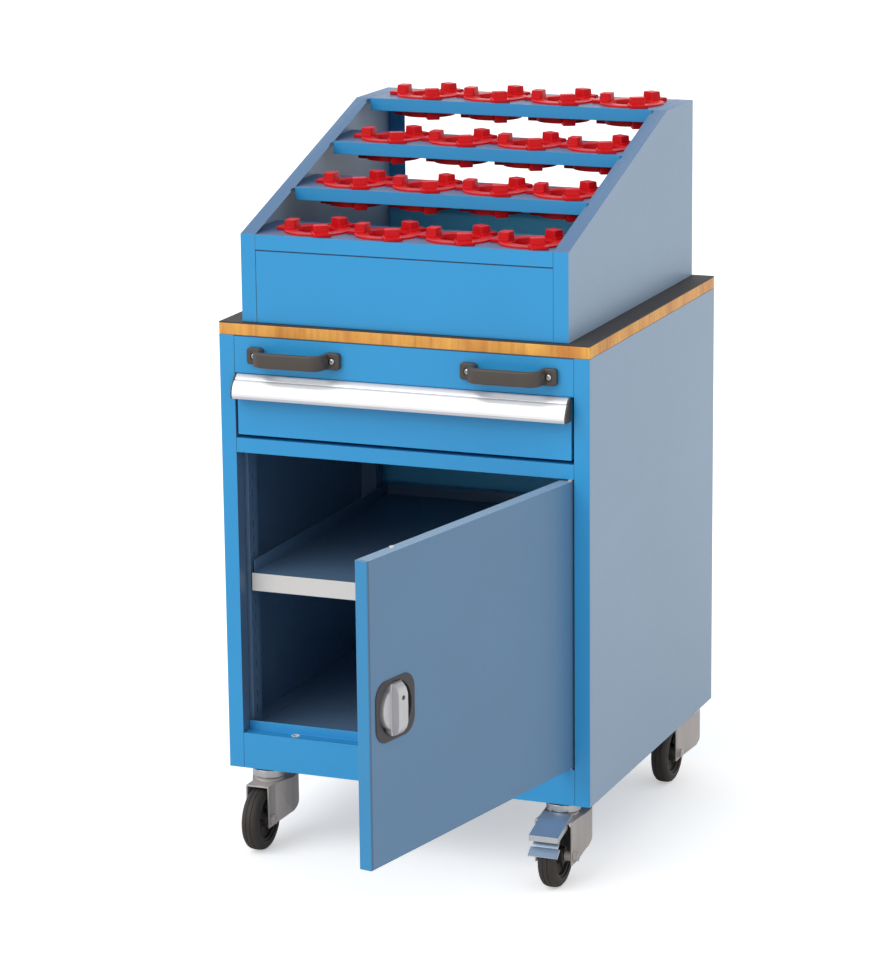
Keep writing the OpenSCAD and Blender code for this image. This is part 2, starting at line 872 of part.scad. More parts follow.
module drawer_tray() {
    y1 = tray_y + tray_len;
    color("steelblue") {
        difference() {
            block([-tray_half, tray_y, tray_z0], [tray_half, y1, tray_z0 + tray_h]);
            block([-tray_half + drawer_sheet, tray_y + drawer_sheet, tray_z0 + drawer_sheet],
                [tray_half - drawer_sheet, y1 - drawer_sheet, tray_z0 + tray_h + 1]);
        }
        both_sides() block([tray_half - 6, tray_y, tray_z0 + tray_h - drawer_sheet],
            [tray_half, y1, tray_z0 + tray_h]);
    }
}

module drawer_front() {
    color("dodgerblue") difference() {
        along_y(0, drawer_front_d)
            round_outline(rect(-drawer_half, drawer_z0, drawer_half, drawer_z1), 1);
        block([-drawer_half + drawer_sheet, drawer_sheet, drawer_z0 + drawer_sheet],
            [drawer_half - drawer_sheet, drawer_front_d + 1, drawer_z1 - drawer_sheet]);
    }
}

function arc_centre(a, b, r) = let (m = (a + b) / 2, n = left_of(unit(b - a)))
    m + n * sqrt(r * r - norm(b - a) * norm(b - a) / 4);

// The grip's face is an arc from the ledge near its top to the lip at its foot
module grip_solid(inward) {
    c = arc_centre(grip_top, grip_foot, grip_arc_r);
    intersection() {
        translate(c) circle(grip_arc_r - inward, $fn = 96);
        translate([-grip_reach + inward, -1]) square([grip_reach + 2, grip_h + 1 - inward]);
    }
}

module drawer_grip() {
    color("whitesmoke") translate([0, 0, grip_z0]) along_x(-grip_half, grip_half) {
        difference() {
            intersection() {
                grip_solid(0);
                translate([-grip_reach, 0]) square([grip_reach, grip_h]);
            }
            intersection() {
                grip_solid(grip_wall);
                translate([-grip_reach, -1]) square([grip_reach - grip_wall, grip_h + 2]);
            }
        }
        translate([grip_top[0], grip_h - 3]) square([-grip_top[0], 3]);
        translate([-grip_reach, 0]) square([grip_wall, 5]);
    }
}

module grip_caps() {
    color("#33302d") both_sides() translate([0, 0, grip_z0])
        along_x(grip_half, grip_half + cap_w) {
            intersection() {
                grip_solid(-0.4);
                translate([-grip_reach - 0.4, 0]) square([grip_reach + 0.4, grip_h]);
            }
            translate([grip_top[0], 0]) square([-grip_top[0], grip_h]);
        }
}

// Door

module door_place() {
    translate([pin_x, pin_y, 0]) rotate(door_open) translate([-pin_x, -pin_y, 0]) children();
}

module at_latch() {
    door_place() translate([latch_x, 0, latch_h]) children();
}

module door_skin() {
    color("lightslategray") door_place() difference() {
        along_z(door_z0, door_z1) round_outline(rect(door_x0, 0, door_x1, door_t), edge_r);
        block([door_x0 + door_sheet, door_sheet, door_z0 + door_sheet],
            [door_x1 - door_sheet, door_t + 1, door_z1 - door_sheet]);
        translate([latch_x, 0, latch_h]) along_y(-1, door_sheet + 1)
            round_outline(bowl_outline(3 - gap), 22);
        for (z = [door_z0, door_z1 - door_sheet])
            translate([rod_x, rod_y, z - 1]) cylinder(r = rod_r + 0.6, h = door_sheet + 2);
        for (z = [door_z0, door_z1 - door_sheet])
            translate([pin_x, pin_y, z - 1])
                cylinder(r = bush_dia / 2 + run_clear, h = door_sheet + 2);
    }
}

module door_pan() {
    x0 = door_x0 + door_sheet + gap;
    x1 = door_x1 - door_sheet - gap;
    z0 = door_z0 + door_sheet + gap;
    z1 = door_z1 - door_sheet - gap;
    back = door_t - door_sheet;
    color("lightslategray") door_place() {
        block([x0, back, z0], [x1, door_t, z1]);
        for (z = [z0 + guide_from_end, z1 - guide_from_end - guide_h]) difference() {
            block([rod_x - 9, rod_y - rod_r - 2, z], [rod_x + 9, back, z + guide_h]);
            translate([rod_x, rod_y, z - 1]) cylinder(r = rod_r + run_clear, h = guide_h + 2);
        }
        for (x = [x0 + 120, (x0 + x1) / 2 + 60, x1 - 90])
            block([x, back - pan_rib_d, z0 + 40], [x + 1, back, z1 - 40]);
    }
}

module hinge_bushes() {
    color("dimgray") door_place() translate([pin_x, pin_y, 0]) {
        translate([0, 0, door_z0 - 1]) difference() {
            union() {
                cylinder(r = pin_collar_r, h = 1);
                cylinder(d = bush_dia, h = bush_h + 1);
            }
            translate([0, 0, -1]) cylinder(r = pin_dia / 2 + run_clear, h = bush_h + 3);
        }
        translate([0, 0, door_z1 - bush_h]) difference() {
            union() {
                translate([0, 0, bush_h]) cylinder(r = pin_collar_r, h = 1);
                cylinder(d = bush_dia, h = bush_h + 1);
            }
            translate([0, 0, -1]) cylinder(r = pin_dia / 2 + run_clear, h = bush_h + 3);
        }
    }
}

module hinge_pins() {
    collar = door_gap - 1 - gap;
    color("silver") translate([pin_x, pin_y, 0]) {
        translate([0, 0, ledge_z]) {
            cylinder(d = pin_dia, h = door_gap + bush_h - 2);
            cylinder(r = pin_collar_r, h = collar);
        }
        translate([0, 0, cupboard_top - door_gap - bush_h + 2])
            cylinder(d = pin_dia, h = door_gap + bush_h - 2);
        translate([0, 0, cupboard_top - collar]) cylinder(r = pin_collar_r, h = collar);
    }
}

// Latch, drawn round its shaft with y = 0 on the door's face

function bowl_outline(d) = inset(rect(-bowl_w / 2, -bowl_h / 2, bowl_w / 2, bowl_h / 2), d);

module latch_bowl() {
    color("#3c3835") at_latch() difference() {
        union() {
            along_y(-bowl_lip, 0) round_outline(bowl_outline(0), 25);
            along_y(0, bowl_d) round_outline(bowl_outline(3), 22);
            rod_along_y(bowl_d, bowl_d + boss_d, shaft_dia / 2 + 4);
        }
        rod_along_y(-bowl_lip - 1, recess_d, recess_r);
        rod_along_y(recess_d - 1, bowl_d + boss_d + 1, shaft_dia / 2 + run_clear);
    }
}

module latch_handle() {
    half = dial_grip_w / 2;
    color("silver") at_latch() difference() {
        union() {
            rod_along_y(recess_d - gap - 4, recess_d - gap, dial_r);
            intersection() {
                rod_along_y(-dial_reach, recess_d - gap, dial_r + 1);
                along_x(-half, half) polygon([[-dial_reach, 12 - dial_r], [1 - dial_reach / 2, -dial_r - 1],
                    [recess_d - gap, -dial_r - 1], [recess_d - gap, dial_r + 1],
                    [1 - dial_reach / 2, dial_r + 1], [-dial_reach, dial_r - 12]]);
                along_z(-dial_dia, dial_dia) polygon([[2 - half, -dial_reach], [half - 2, -dial_reach],
                    [half, 4], [half, bowl_d], [-half, bowl_d], [-half, 4]]);
            }
            rod_along_y(recess_d - gap, cam_y0, shaft_dia / 2);
        }
        translate([0, 0, dial_r / 2]) rod_along_y(-dial_reach - 1, 2 - dial_reach, 3.5);
    }
}

// Crank pins at 45 degrees to the rods, so that a quarter turn lifts them by the travel
module latch_cam() {
    color("silver") at_latch() {
        rod_along_y(cam_y0, cam_y0 + cam_t, crank_r + crank_pin_r + 2);
        for (side = [-1, 1])
            translate([side * rod_travel / 2, 0, -side * rod_travel / 2])
                rod_along_y(cam_y0 + cam_t, lug_y1 + 0.5, crank_pin_r);
    }
}

module crank_slot(side) {
    half_z = crank_pin_r + crank_sag;
    x0 = rod_travel / 2 - crank_pin_r - crank_sag;
    x1 = crank_r + crank_pin_r + crank_sag;
    translate([0, 0, -side * rod_travel / 2])
        block([min(side * x0, side * x1), lug_y0 - 1, -half_z],
            [max(side * x0, side * x1), lug_y1 + 1, half_z]);
}

module latch_rod_upper() {
    x1 = rod_offset + rod_r;
    color("whitesmoke") at_latch() difference() {
        union() {
            block([0.6, lug_y0, -rod_travel / 2 - 6], [x1, lug_y1, 24]);
            translate([rod_offset, rod_y, 18])
                cylinder(d = rod_dia, h = door_z1 + rod_proud - latch_h - 18);
        }
        crank_slot(1);
    }
}

module latch_rod_lower() {
    x1 = rod_offset + rod_r;
    low = door_z0 - rod_proud - latch_h;
    color("whitesmoke") at_latch() difference() {
        union() {
            block([-crank_r - crank_pin_r - 4, lug_y0, -32], [-0.6, lug_y1, rod_travel / 2 + 6]);
            block([-crank_r - crank_pin_r - 4, lug_y0, -32], [x1, lug_y1, -22]);
            translate([rod_offset, rod_y, low]) cylinder(d = rod_dia, h = -24 - low);
        }
        crank_slot(-1);
    }
}

// Casters, drawn round their swivel axis with z from the floor

module at_caster(side, y) {
    translate([side * swivel_x, y, 0]) children();
}

module at_all_casters() {
    for (side = [-1, 1], y = [swivel_front, swivel_back]) at_caster(side, y) children();
}

// Fixed head: a dished race under the body and the swivel pin with its lower collar
module caster_heads() {
    z0 = fork_top + head_race_h + gap;
    color("silver") at_all_casters() {
        translate([0, 0, z0]) rotate_extrude() polygon([[0, 0], [race_r, 0],
            [head_dia / 2, 3], [head_dia / 2, body_z - z0 - 4], [head_dia / 2 - 5, body_z - z0],
            [0, body_z - z0]]);
        translate([0, 0, fork_top - fork_t - 4]) cylinder(r = swivel_r, h = 8 + fork_t + head_race_h);
        translate([0, 0, fork_top - fork_t - 4]) cylinder(r = swivel_r + 5, h = 4 - gap);
        translate([0, 0, body_z]) cylinder(r = swivel_r, h = base_channel_t + 5);
    }
}

// Side view of the fork: upright front edge, round rear corner, foot round the axle
module fork_side_view() {
    axle_y = -trail;
    foot = wheel_r - leg_drop;
    round_r = 44;
    polygon([[-fork_front, foot], [axle_y + 12, foot], [fork_rear - round_r, foot + 11],
        [fork_rear - round_r, fork_top], [-fork_front, fork_top]]);
    intersection() {
        translate([fork_rear - round_r, foot + 11 + round_r]) circle(round_r);
        translate([fork_rear - round_r - 1, foot]) square([round_r + 2, round_r + 11]);
    }
    translate([fork_rear - round_r - 1, foot + 11 + round_r])
        square([round_r + 1, fork_top - foot - 11 - round_r]);
}

// Plan of the fork, moved inwards by d: legs beside the wheel that widen to a round back
module fork_plan(leg, d) {
    half = fork_half_w - d;
    polygon([[d - leg, -fork_front - d], [leg - d, -fork_front - d], [leg - d, -leg_end],
        [half, flare_end], [-half, flare_end], [d - leg, -leg_end]]);
    intersection() {
        round_outline(rect(-half, -fork_front - 60, half, fork_rear - d), fork_corner - d);
        translate([-half, flare_end]) square([2 * half, fork_rear - flare_end]);
    }
}

// Pressed fork: walls at the sides and back, open below and in front
module fork_shell(leg) {
    difference() {
        intersection() {
            along_z(0, fork_top) fork_plan(leg, 0);
            along_x(-fork_half_w - 1, fork_half_w + 1) fork_side_view();
        }
        along_z(-1, fork_top - fork_t) fork_plan(leg, fork_t);
        translate([0, 0, fork_top - 10]) cylinder(r = swivel_r + run_clear, h = 20);
        translate([0, -trail, wheel_r]) rod_along_x(-60, 60, bolt_r + run_clear);
    }
    translate([0, 0, fork_top]) difference() {
        cylinder(r = race_r - 1, h = head_race_h);
        translate([0, 0, -1]) cylinder(r = swivel_r + run_clear, h = head_race_h + 2);
    }
}

module axle(leg) {
    sleeve_end = leg - fork_t - run_clear;
    translate([0, -trail, wheel_r]) {
        rod_along_x(-leg - washer_t, leg + washer_t, bolt_r);
        rod_along_x(-hub_half - gap, hub_half + gap, axle_r);
        for (side = [0, 180]) rotate([0, 0, side]) {
            rod_along_x(hub_half + gap, sleeve_end, axle_r + 2);
            rod_along_x(leg + run_clear, leg + washer_t, bolt_head_r + 1);
            translate([leg + washer_t, 0, 0]) rotate([0, 90, 0])
                cylinder(r = bolt_head_r, h = bolt_head_h, $fn = 6);
        }
    }
}

module fork(leg) {
    color("silver") {
        fork_shell(leg);
        axle(leg);
    }
}

module fork_front_left() at_caster(-1, swivel_front) fork(leg_half);
module fork_front_right() at_caster(1, swivel_front) fork(braked_leg_half);
module fork_rear_left() at_caster(-1, swivel_back) fork(leg_half);
module fork_rear_right() at_caster(1, swivel_back) fork(leg_half);

// Turns a profile of radius and sideways offset about the axle
module wheel_turn() {
    translate([0, -trail, wheel_r]) rotate([0, 90, 0]) rotate_extrude() children();
}

// Tyre with rounded shoulders on the hub's rim
module tyre() {
    half = wheel_w / 2;
    shoulder = 7;
    color("#403c39") wheel_turn() {
        translate([hub_r, -half]) square([wheel_r - shoulder - hub_r, wheel_w]);
        translate([wheel_r - shoulder - 1, -half + shoulder])
            square([shoulder + 1, wheel_w - 2 * shoulder]);
        for (side = [-1, 1]) intersection() {
            translate([wheel_r - shoulder, side * (half - shoulder)]) circle(shoulder);
            translate([wheel_r - shoulder, -half]) square([shoulder, wheel_w]);
        }
    }
}

// Hub: bored boss, thin web and rim under the tyre
module hub() {
    half = wheel_w / 2 - 3;
    bore = axle_r + run_clear;
    color("#2f2c2a") wheel_turn() {
        translate([bore, -hub_half]) square([hub_boss_r - bore, 2 * hub_half]);
        translate([hub_boss_r - 1, -4]) square([hub_r - hub_boss_r, 8]);
        translate([hub_r - 4, -half]) square([4, 2 * half]);
    }
}

module hub_front_left() at_caster(-1, swivel_front) hub();
module hub_front_right() at_caster(1, swivel_front) hub();
module hub_rear_left() at_caster(-1, swivel_back) hub();
module hub_rear_right() at_caster(1, swivel_back) hub();
module tyre_front_left() at_caster(-1, swivel_front) tyre();
module tyre_front_right() at_caster(1, swivel_front) tyre();
module tyre_rear_left() at_caster(-1, swivel_back) tyre();
module tyre_rear_right() at_caster(1, swivel_back) tyre();

// Brake cover: a hood that slopes down from the fork's top to a lip in front of the wheel
module brake_cover() {
    half = brake_w / 2;
    fork_face = -fork_front - gap;
    color("silver") at_caster(1, swivel_front) difference() {
        along_x(-half, half) polygon([[cover_front, cover_lip_z],
            [fork_face, cover_slope_z(fork_face) - cheek_h], [fork_face, fork_top + gap],
            [cover_back, fork_top + gap], [cover_back, cover_slope_z(cover_back)],
            [cover_front, cover_slope_z(cover_front)]]);
        along_x(-half + cover_t, half - cover_t)
            polygon([[cover_front + cover_t, 0], [fork_face + 1, 0],
                [fork_face + 1, cover_slope_z(fork_face + 1) - cover_t],
                [cover_front + cover_t, cover_slope_z(cover_front + cover_t) - cover_t]]);
        translate([0, pedal_pivot_y, pedal_pivot_z])
            rod_along_x(-half - 1, half + 1, pedal_pin_r + run_clear);
    }
}

// Pedal: a band curved round the tyre that hangs on a cross pin, with a tread plate
module brake_pedal() {
    half = brake_w / 2;
    a0 = atan2(pedal_pivot_z - wheel_r, pedal_pivot_y + trail);
    a1 = 152;
    far = 2 * wheel_r;
    tip = (pedal_in + pedal_band) * [cos(a1), sin(a1)];
    color("silver") at_caster(1, swivel_front) {
        along_x(-half + cover_t + 1, half - cover_t - 1) translate([-trail, wheel_r]) {
            difference() {
                circle(pedal_in + pedal_band, $fn = 96);
                circle(pedal_in, $fn = 96);
                polygon([[0, 0], far * [cos(a0), sin(a0)], [far, far], [far, -far], [-far, -far],
                    far * [cos(a1), sin(a1)]]);
            }
        }
        translate([0, pedal_pivot_y, pedal_pivot_z])
            rod_along_x(-half, half, pedal_pin_r);
        along_x(-half, half) translate([-trail, wheel_r])
            polygon([tip, tip + [3.5, -1.5], tip + [-9.5, -12.5], tip + [-13, -10.5]]);
    }
}

// Assembly, with the origin on the floor

module placed() {
    translate([0, -middle_y, 0]) children();
}

placed() side_panel_left();
placed() side_panel_right();
placed() back_panel();
placed() floor_pan();
placed() base_channels();
placed() bottom_rail();
placed() mid_rail();
placed() top_fascia();
placed() top_rear_rail();
placed() shelf_uprights();
placed() shelf();
placed() shelf_clips();
placed() worktop();
placed() mat();
placed() rack_side_left();
placed() rack_side_right();
placed() rack_front();
placed() rack_back();
placed() tier_1();
placed() tier_2();
placed() tier_3();
placed() tier_4();
placed() inserts_1();
placed() inserts_2();
placed() inserts_3();
placed() inserts_4();
placed() bow_handles();
placed() handle_screws();
placed() hinge_pins();
placed() drawer_slides_fixed();
placed() caster_heads();
placed() door_skin();
placed() door_pan();
placed() hinge_bushes();
placed() latch_bowl();
placed() latch_handle();
placed() latch_cam();
placed() latch_rod_upper();
placed() latch_rod_lower();
placed() drawer_tray();
placed() drawer_front();
placed() drawer_grip();
placed() grip_caps();
placed() drawer_slides_inner();
placed() drawer_slides_middle();
placed() fork_front_left();
placed() fork_front_right();
placed() fork_rear_left();
placed() fork_rear_right();
placed() hub_front_left();
placed() hub_front_right();
placed() hub_rear_left();
placed() hub_rear_right();
placed() tyre_front_left();
placed() tyre_front_right();
placed() tyre_rear_left();
placed() tyre_rear_right();
placed() brake_cover();
placed() brake_pedal();
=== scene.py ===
import json
import math

import bmesh
import bpy
import numpy as np
from mathutils import Matrix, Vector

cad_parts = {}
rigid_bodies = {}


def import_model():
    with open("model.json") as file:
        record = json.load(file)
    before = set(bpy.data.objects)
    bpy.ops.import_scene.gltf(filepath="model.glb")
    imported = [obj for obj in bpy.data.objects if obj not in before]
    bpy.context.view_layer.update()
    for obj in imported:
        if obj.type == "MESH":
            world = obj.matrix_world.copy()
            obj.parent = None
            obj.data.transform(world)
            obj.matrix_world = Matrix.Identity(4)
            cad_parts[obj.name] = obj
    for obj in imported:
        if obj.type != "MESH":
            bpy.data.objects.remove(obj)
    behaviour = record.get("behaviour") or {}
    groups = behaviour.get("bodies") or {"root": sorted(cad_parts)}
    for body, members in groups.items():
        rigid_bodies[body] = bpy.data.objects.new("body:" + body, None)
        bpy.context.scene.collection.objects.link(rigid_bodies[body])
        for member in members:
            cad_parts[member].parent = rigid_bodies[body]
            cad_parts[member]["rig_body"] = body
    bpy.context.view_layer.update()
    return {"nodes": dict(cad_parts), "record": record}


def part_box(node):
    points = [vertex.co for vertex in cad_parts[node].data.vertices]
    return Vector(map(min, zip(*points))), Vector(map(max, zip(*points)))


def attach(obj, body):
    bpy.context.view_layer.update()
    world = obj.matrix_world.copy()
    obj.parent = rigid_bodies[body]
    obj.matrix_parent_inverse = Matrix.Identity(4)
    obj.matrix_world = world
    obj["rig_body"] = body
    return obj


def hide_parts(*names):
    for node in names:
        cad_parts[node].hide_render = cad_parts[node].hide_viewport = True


bl_info = {
    "name": "Tool cabinet dressing",
    "version": (1, 0, 0),
    "blender": (4, 5, 0),
    "location": "3D View > Sidebar > Cabinet",
    "description": "Rounded pieces, finishes, light and camera for the packed tool cabinet",
    "category": "Object",
}

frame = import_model()

MM = 0.001
NODES = frame["nodes"]
JOINTS = {j["name"]: j for j in frame["record"]["behaviour"]["joints"]}
CORNERS = ("front_left", "front_right", "rear_left", "rear_right")
FRONT_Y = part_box("side_panel_left")[0].y
TINY = 1e-6  # metres: points closer than this are one
STRAIGHT = 1e-3  # radians: a corner that turns less is left out
SHARP = 32  # degrees: an edge that turns more is sharp
FLAT = 0.4  # degrees: faces that differ less are one face
ROD_EDGE = 0.6 * MM  # round on the edges of the latch rods
BOWL_EDGE = 0.8 * MM  # round on the edges of the latch bowl


# Colours and sizes that a user would change

def srgb(r, g, b):
    """Scene-linear colour of an 8-bit screen colour."""
    c = np.array([r, g, b]) / 255
    return tuple(float(v) for v in np.where(c <= 0.04045, c / 12.92, ((c + 0.055) / 1.055) ** 2.4))


def colour(name, description, r, g, b):
    return bpy.props.FloatVectorProperty(name=name, description=description, subtype="COLOR",
                                         size=3, min=0, max=1, default=srgb(r, g, b))


def length(name, description, mm):
    return bpy.props.FloatProperty(name=name, description=description, unit="LENGTH", min=0,
                                   precision=4, default=mm * MM)


def number(name, description, value, low, high):
    return bpy.props.FloatProperty(name=name, description=description, min=low, max=high,
                                   default=value)


class CabinetFinish(bpy.types.PropertyGroup):
    """Colours of the paint, wood, plastic and metal, and the tones of painted light and shade on them.
    """
    blue: colour("Front blue", "Paint on faces that look forwards or back", 42, 150, 209)
    # Painted sheen: a lighter, greyer tone of the blue paint for faces that look sideways.
    side: colour("Side paint", "Paint on the body's sides", 141, 165, 189)
    # Painted light and shade: a greyer, darker tone of the blue paint for the door's broad face.
    door: colour("Door paint", "Paint on the door's broad face", 91, 130, 165)
    # Painted shade: a darker tone of the blue paint for faces that look up.
    level: colour("Top paint", "Paint on faces that look up", 68, 98, 138)
    # Painted shade: a darker tone of the blue paint for the rack's faces that look up.
    slope: colour("Slope paint", "Paint on the rack's sloping flanges", 58, 106, 150)
    # Painted shade: a darker tone of the blue paint inside the cupboard.
    inside: colour("Inside paint", "Paint inside the cupboard", 94, 122, 152)
    # Painted light: a lighter tone of the blue paint where the back wall looks forwards.
    wall: colour("Back wall", "Paint on the back wall, where it looks inwards", 96, 200, 246)
    # Painted shade: a darker tone of the blue paint for the door's faces that look forwards.
    edge: colour("Door edge", "Paint on the door's edges that look forwards", 49, 136, 188)
    shelf: colour("Shelf paint", "Paint on the shelf", 214, 211, 208)
    wood_pale: colour("Pale stave", "Palest beech stave", 246, 184, 84)
    wood_dark: colour("Dark stave", "Darkest beech stave", 190, 114, 36)
    mat: colour("Mat", "Ribbed rubber on the top", 56, 54, 54)
    red: colour("Insert red", "Tool-holder inserts", 205, 8, 20)
    dark_plastic: colour("Dark plastic", "Handles, latch bowl and end caps", 74, 68, 63)
    # Painted shade: the darker tone of the turn handle's flanks.
    dial: colour("Turn handle", "Grey plastic of the turn handle", 170, 169, 174)
    # Painted highlight: the lighter tone of the turn handle's outer faces.
    crest: colour("Handle crest", "The turn handle's outer faces", 203, 203, 205)
    bowl: colour("Latch bowl", "Dark plastic round the turn handle", 60, 58, 61)
    rod: colour("Latch rods", "White plastic of the latch rods", 225, 225, 222)
    zinc: colour("Zinc", "Plated pressings of the casters and slides", 198, 190, 185)
    # Painted reflection: a bluish tone of the blue body above, on the brake's plated faces that look up.
    pressed: colour("Brake tops", "Plated faces of the brake that look up", 132, 153, 178)
    steel: colour("Steel", "Screws, pins and clips", 196, 196, 198)
    aluminium: colour("Aluminium", "Anodised grip rail", 234, 233, 234)
    shade: colour("Grip shade", "Aluminium where it turns from the light", 120, 138, 165)
    tyre: colour("Tyre", "Solid rubber tyres", 51, 46, 42)
    hub: colour("Hub", "Moulded wheel hubs", 44, 41, 38)


class CabinetDetail(bpy.types.PropertyGroup):
    """Sizes of the small rounds and reliefs."""
    sheet_edge: length("Sheet edge", "Round on the edges of sheet metal", 0.55)
    thin_edge: length("Thin edge", "Round on the edges of thin sheet inside", 0.35)
    cast_edge: length("Pressing edge", "Round on the edges of thick pressings", 0.8)
    insert_edge: length("Insert edge", "Round on the edges of the inserts", 1.0)
    stave: length("Stave width", "Width of a beech stave", 30)
    rib_pitch: length("Rib pitch", "Distance between the mat's ribs", 5)
    rib_height: length("Rib height", "Height of the mat's ribs", 0.5)


class CabinetView(bpy.types.PropertyGroup):
    """Camera and light."""
    place: bpy.props.FloatVectorProperty(name="Camera place", description="Camera position",
                                         subtype="TRANSLATION", size=3,
                                         default=(2.0403, -4.9458, 1.9023))
    yaw: number("Yaw", "Turn of the view from straight ahead, in degrees", 21.985, -180, 180)
    pitch: number("Pitch", "Downward tilt in degrees", 13.657, -90, 90)
    roll: number("Roll", "Roll of the view in degrees", -0.637, -90, 90)
    lens: number("Lens", "Focal length in millimetres on a 36 mm frame", 135.764, 10, 500)
    sky: number("Sky", "Strength of the soft light from all round", 0.62, 0, 2)
    key: number("Key", "Strength of the light from the front left", 1.35, 0, 5)
    fill: number("Fill", "Strength of the light from the right", 0.35, 0, 5)
    rear: number("Rear", "Strength of the light from behind", 0.45, 0, 5)


# Shapes: a part is an array of points in metres and a list of faces

def loft(loops, ring=False):
    """Four-sided faces between neighbouring closed loops of points. A ring joins the last loop
    to the first; otherwise one face closes each end."""
    k, n = loops.shape[:2]
    row = np.arange(k if ring else k - 1)[:, None]
    col = np.arange(n)[None, :]
    nxt = (col + 1) % n
    up = (row + 1) % k
    faces = np.stack([row * n + col, row * n + nxt, up * n + nxt, up * n + col], -1)
    faces = faces.reshape(-1, 4).tolist()
    if not ring:
        faces += [list(range(n - 1, -1, -1)), list(range((k - 1) * n, k * n))]
    return loops.reshape(-1, 3), faces


def filleted(corners, radius, steps, closed=True):
    """Polyline whose corners become arcs: each arc's centre lies on the corner's bisector, and
    its points turn evenly from one tangent point to the other."""
    p = np.asarray(corners, float)
    r = np.broadcast_to(np.asarray(radius, float), (len(p),))
    out = []
    for i, b in enumerate(p):
        if (not closed and i in (0, len(p) - 1)) or r[i] <= 0:
            out.append(b[None])
            continue
        u, v = p[i - 1] - b, p[(i + 1) % len(p)] - b
        u, v = u / np.linalg.norm(u), v / np.linalg.norm(v)
        half = 0.5 * math.acos(max(-1.0, min(1.0, float(u @ v))))
        turn = math.pi - 2 * half
        if turn < STRAIGHT:
            out.append(b[None])
            continue
        centre = b + (u + v) / np.linalg.norm(u + v) * r[i] / math.sin(half)
        w0, w1 = b + u * r[i] / math.tan(half) - centre, b + v * r[i] / math.tan(half) - centre
        s = np.linspace(0, 1, steps + 1)[:, None]
        out.append(centre + (np.sin((1 - s) * turn) * w0 + np.sin(s * turn) * w1) / math.sin(turn))
    return np.vstack(out)


def rounded_rectangle(w, h, r, steps):
    """Anticlockwise outline of a centred rectangle with round corners."""
    r = max(min(r, w / 2 - TINY, h / 2 - TINY), TINY)
    return filleted([[-w / 2, -h / 2], [w / 2, -h / 2], [w / 2, h / 2], [-w / 2, h / 2]], r, steps)


def levels(outlines, heights):
    """Flat outlines, each at its own height, joined into a solid."""
    return loft(np.array([np.column_stack([o, np.full(len(o), z)]) for o, z in zip(outlines, heights)]))


def quarter(steps=4):
    """(inset, height) of a quarter round of radius 1, from the foot of the round to its crest."""
    a = np.linspace(0, math.pi / 2, steps + 1)
    return np.stack([1 - np.cos(a), np.sin(a)], -1)


def plate(w, h, corner, z0, z1, edge, steps=6):
    """Plate with a rounded rectangular outline and rounded edges: the outline is drawn in by a
    quarter round towards both faces."""
    q = quarter()
    inset = np.concatenate([q[::-1, 0], q[:, 0]]) * edge
    z = np.concatenate([z0 + edge * (1 - q[::-1, 1]), z1 - edge * (1 - q[:, 1])])
    return levels([rounded_rectangle(w - 2 * d, h - 2 * d, corner - d, steps) for d in inset], z)


def lathe(profile, turns, ring=False, wave=None):
    """Profile of (radius, height) turned about Z; wave adds a height that depends on the row and
    the angle."""
    p = np.asarray(profile, float)
    a = np.linspace(0, 2 * math.pi, turns, endpoint=False)
    r = np.broadcast_to(p[:, :1], (len(p), turns))
    z = np.broadcast_to(p[:, 1:], (len(p), turns))
    if wave is not None:
        z = z + wave(p, a)
    return loft(np.stack([r * np.cos(a), r * np.sin(a), z], -1), ring)


def carried(path, profile):
    """Profile of (across, up) carried along a level path of (x, y) points: across lies square to
    the path, up is Z."""
    path = np.asarray(path, float)
    t = np.gradient(path, axis=0)
    t /= np.linalg.norm(t, axis=1, keepdims=True)
    side = np.stack([-t[:, 1], t[:, 0]], -1)
    flat = path[:, None, :] + profile[None, :, :1] * side[:, None, :]
    up = np.broadcast_to(profile[None, :, 1:], flat.shape[:2] + (1,))
    return loft(np.concatenate([flat, up], -1))


def extruded(outline, x0, x1, edge=0.0):
    """Outline of (y, z) points carried along X; with an edge, the outline shrinks towards its
    middle in a quarter round at both ends."""
    o = np.asarray(outline, float)
    if edge:
        q = quarter(3)
        x = np.concatenate([x0 + edge * (1 - q[::-1, 1]), x1 - edge * (1 - q[:, 1])])
        inset = np.concatenate([q[::-1, 0], q[:, 0]]) * edge
    else:
        x, inset = np.array([x0, x1]), np.zeros(2)
    middle = (o.min(0) + o.max(0)) / 2
    half = (o.max(0) - o.min(0)) / 2
    loops = [np.column_stack([np.full(len(o), xi), middle + (o - middle) * (1 - d / half)])
             for xi, d in zip(x, inset)]
    return loft(np.array(loops))


TO_X = np.array([[0, 1, 0], [0, 0, 1], [1, 0, 0]], float)
TO_FRONT = np.array([[1, 0, 0], [0, 0, 1], [0, -1, 0]], float)


def placed(part, origin, axes=None):
    """The part turned so that its X, Y and Z run along the rows of axes, and moved to origin."""
    points, faces = part
    points = points if axes is None else points @ np.asarray(axes, float)
    return points + np.asarray(origin, float), faces


def turn_rows(angle):
    """Matrix that turns rows of points about Z by an angle in radians."""
    c, s = math.cos(angle), math.sin(angle)
    return np.array([[c, s, 0], [-s, c, 0], [0, 0, 1]])


OPEN = -math.radians(JOINTS["door_hinge"]["range_deg"][0])
PIN = np.array(JOINTS["door_hinge"]["pos_m"]) * [1, 1, 0]
DOOR_TURN = turn_rows(OPEN)


def box(node):
    """A node's lowest and highest corner, as arrays."""
    return [np.array(v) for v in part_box(node)]


def points_of(node):
    """A node's points as an array."""
    points = np.empty(3 * len(NODES[node].data.vertices))
    NODES[node].data.vertices.foreach_get("co", points)
    return points.reshape(-1, 3)


def opened(part):
    """The part of the closed door, turned about the hinge to the door's rest opening."""
    points, faces = part
    return (points - PIN) @ DOOR_TURN + PIN, faces


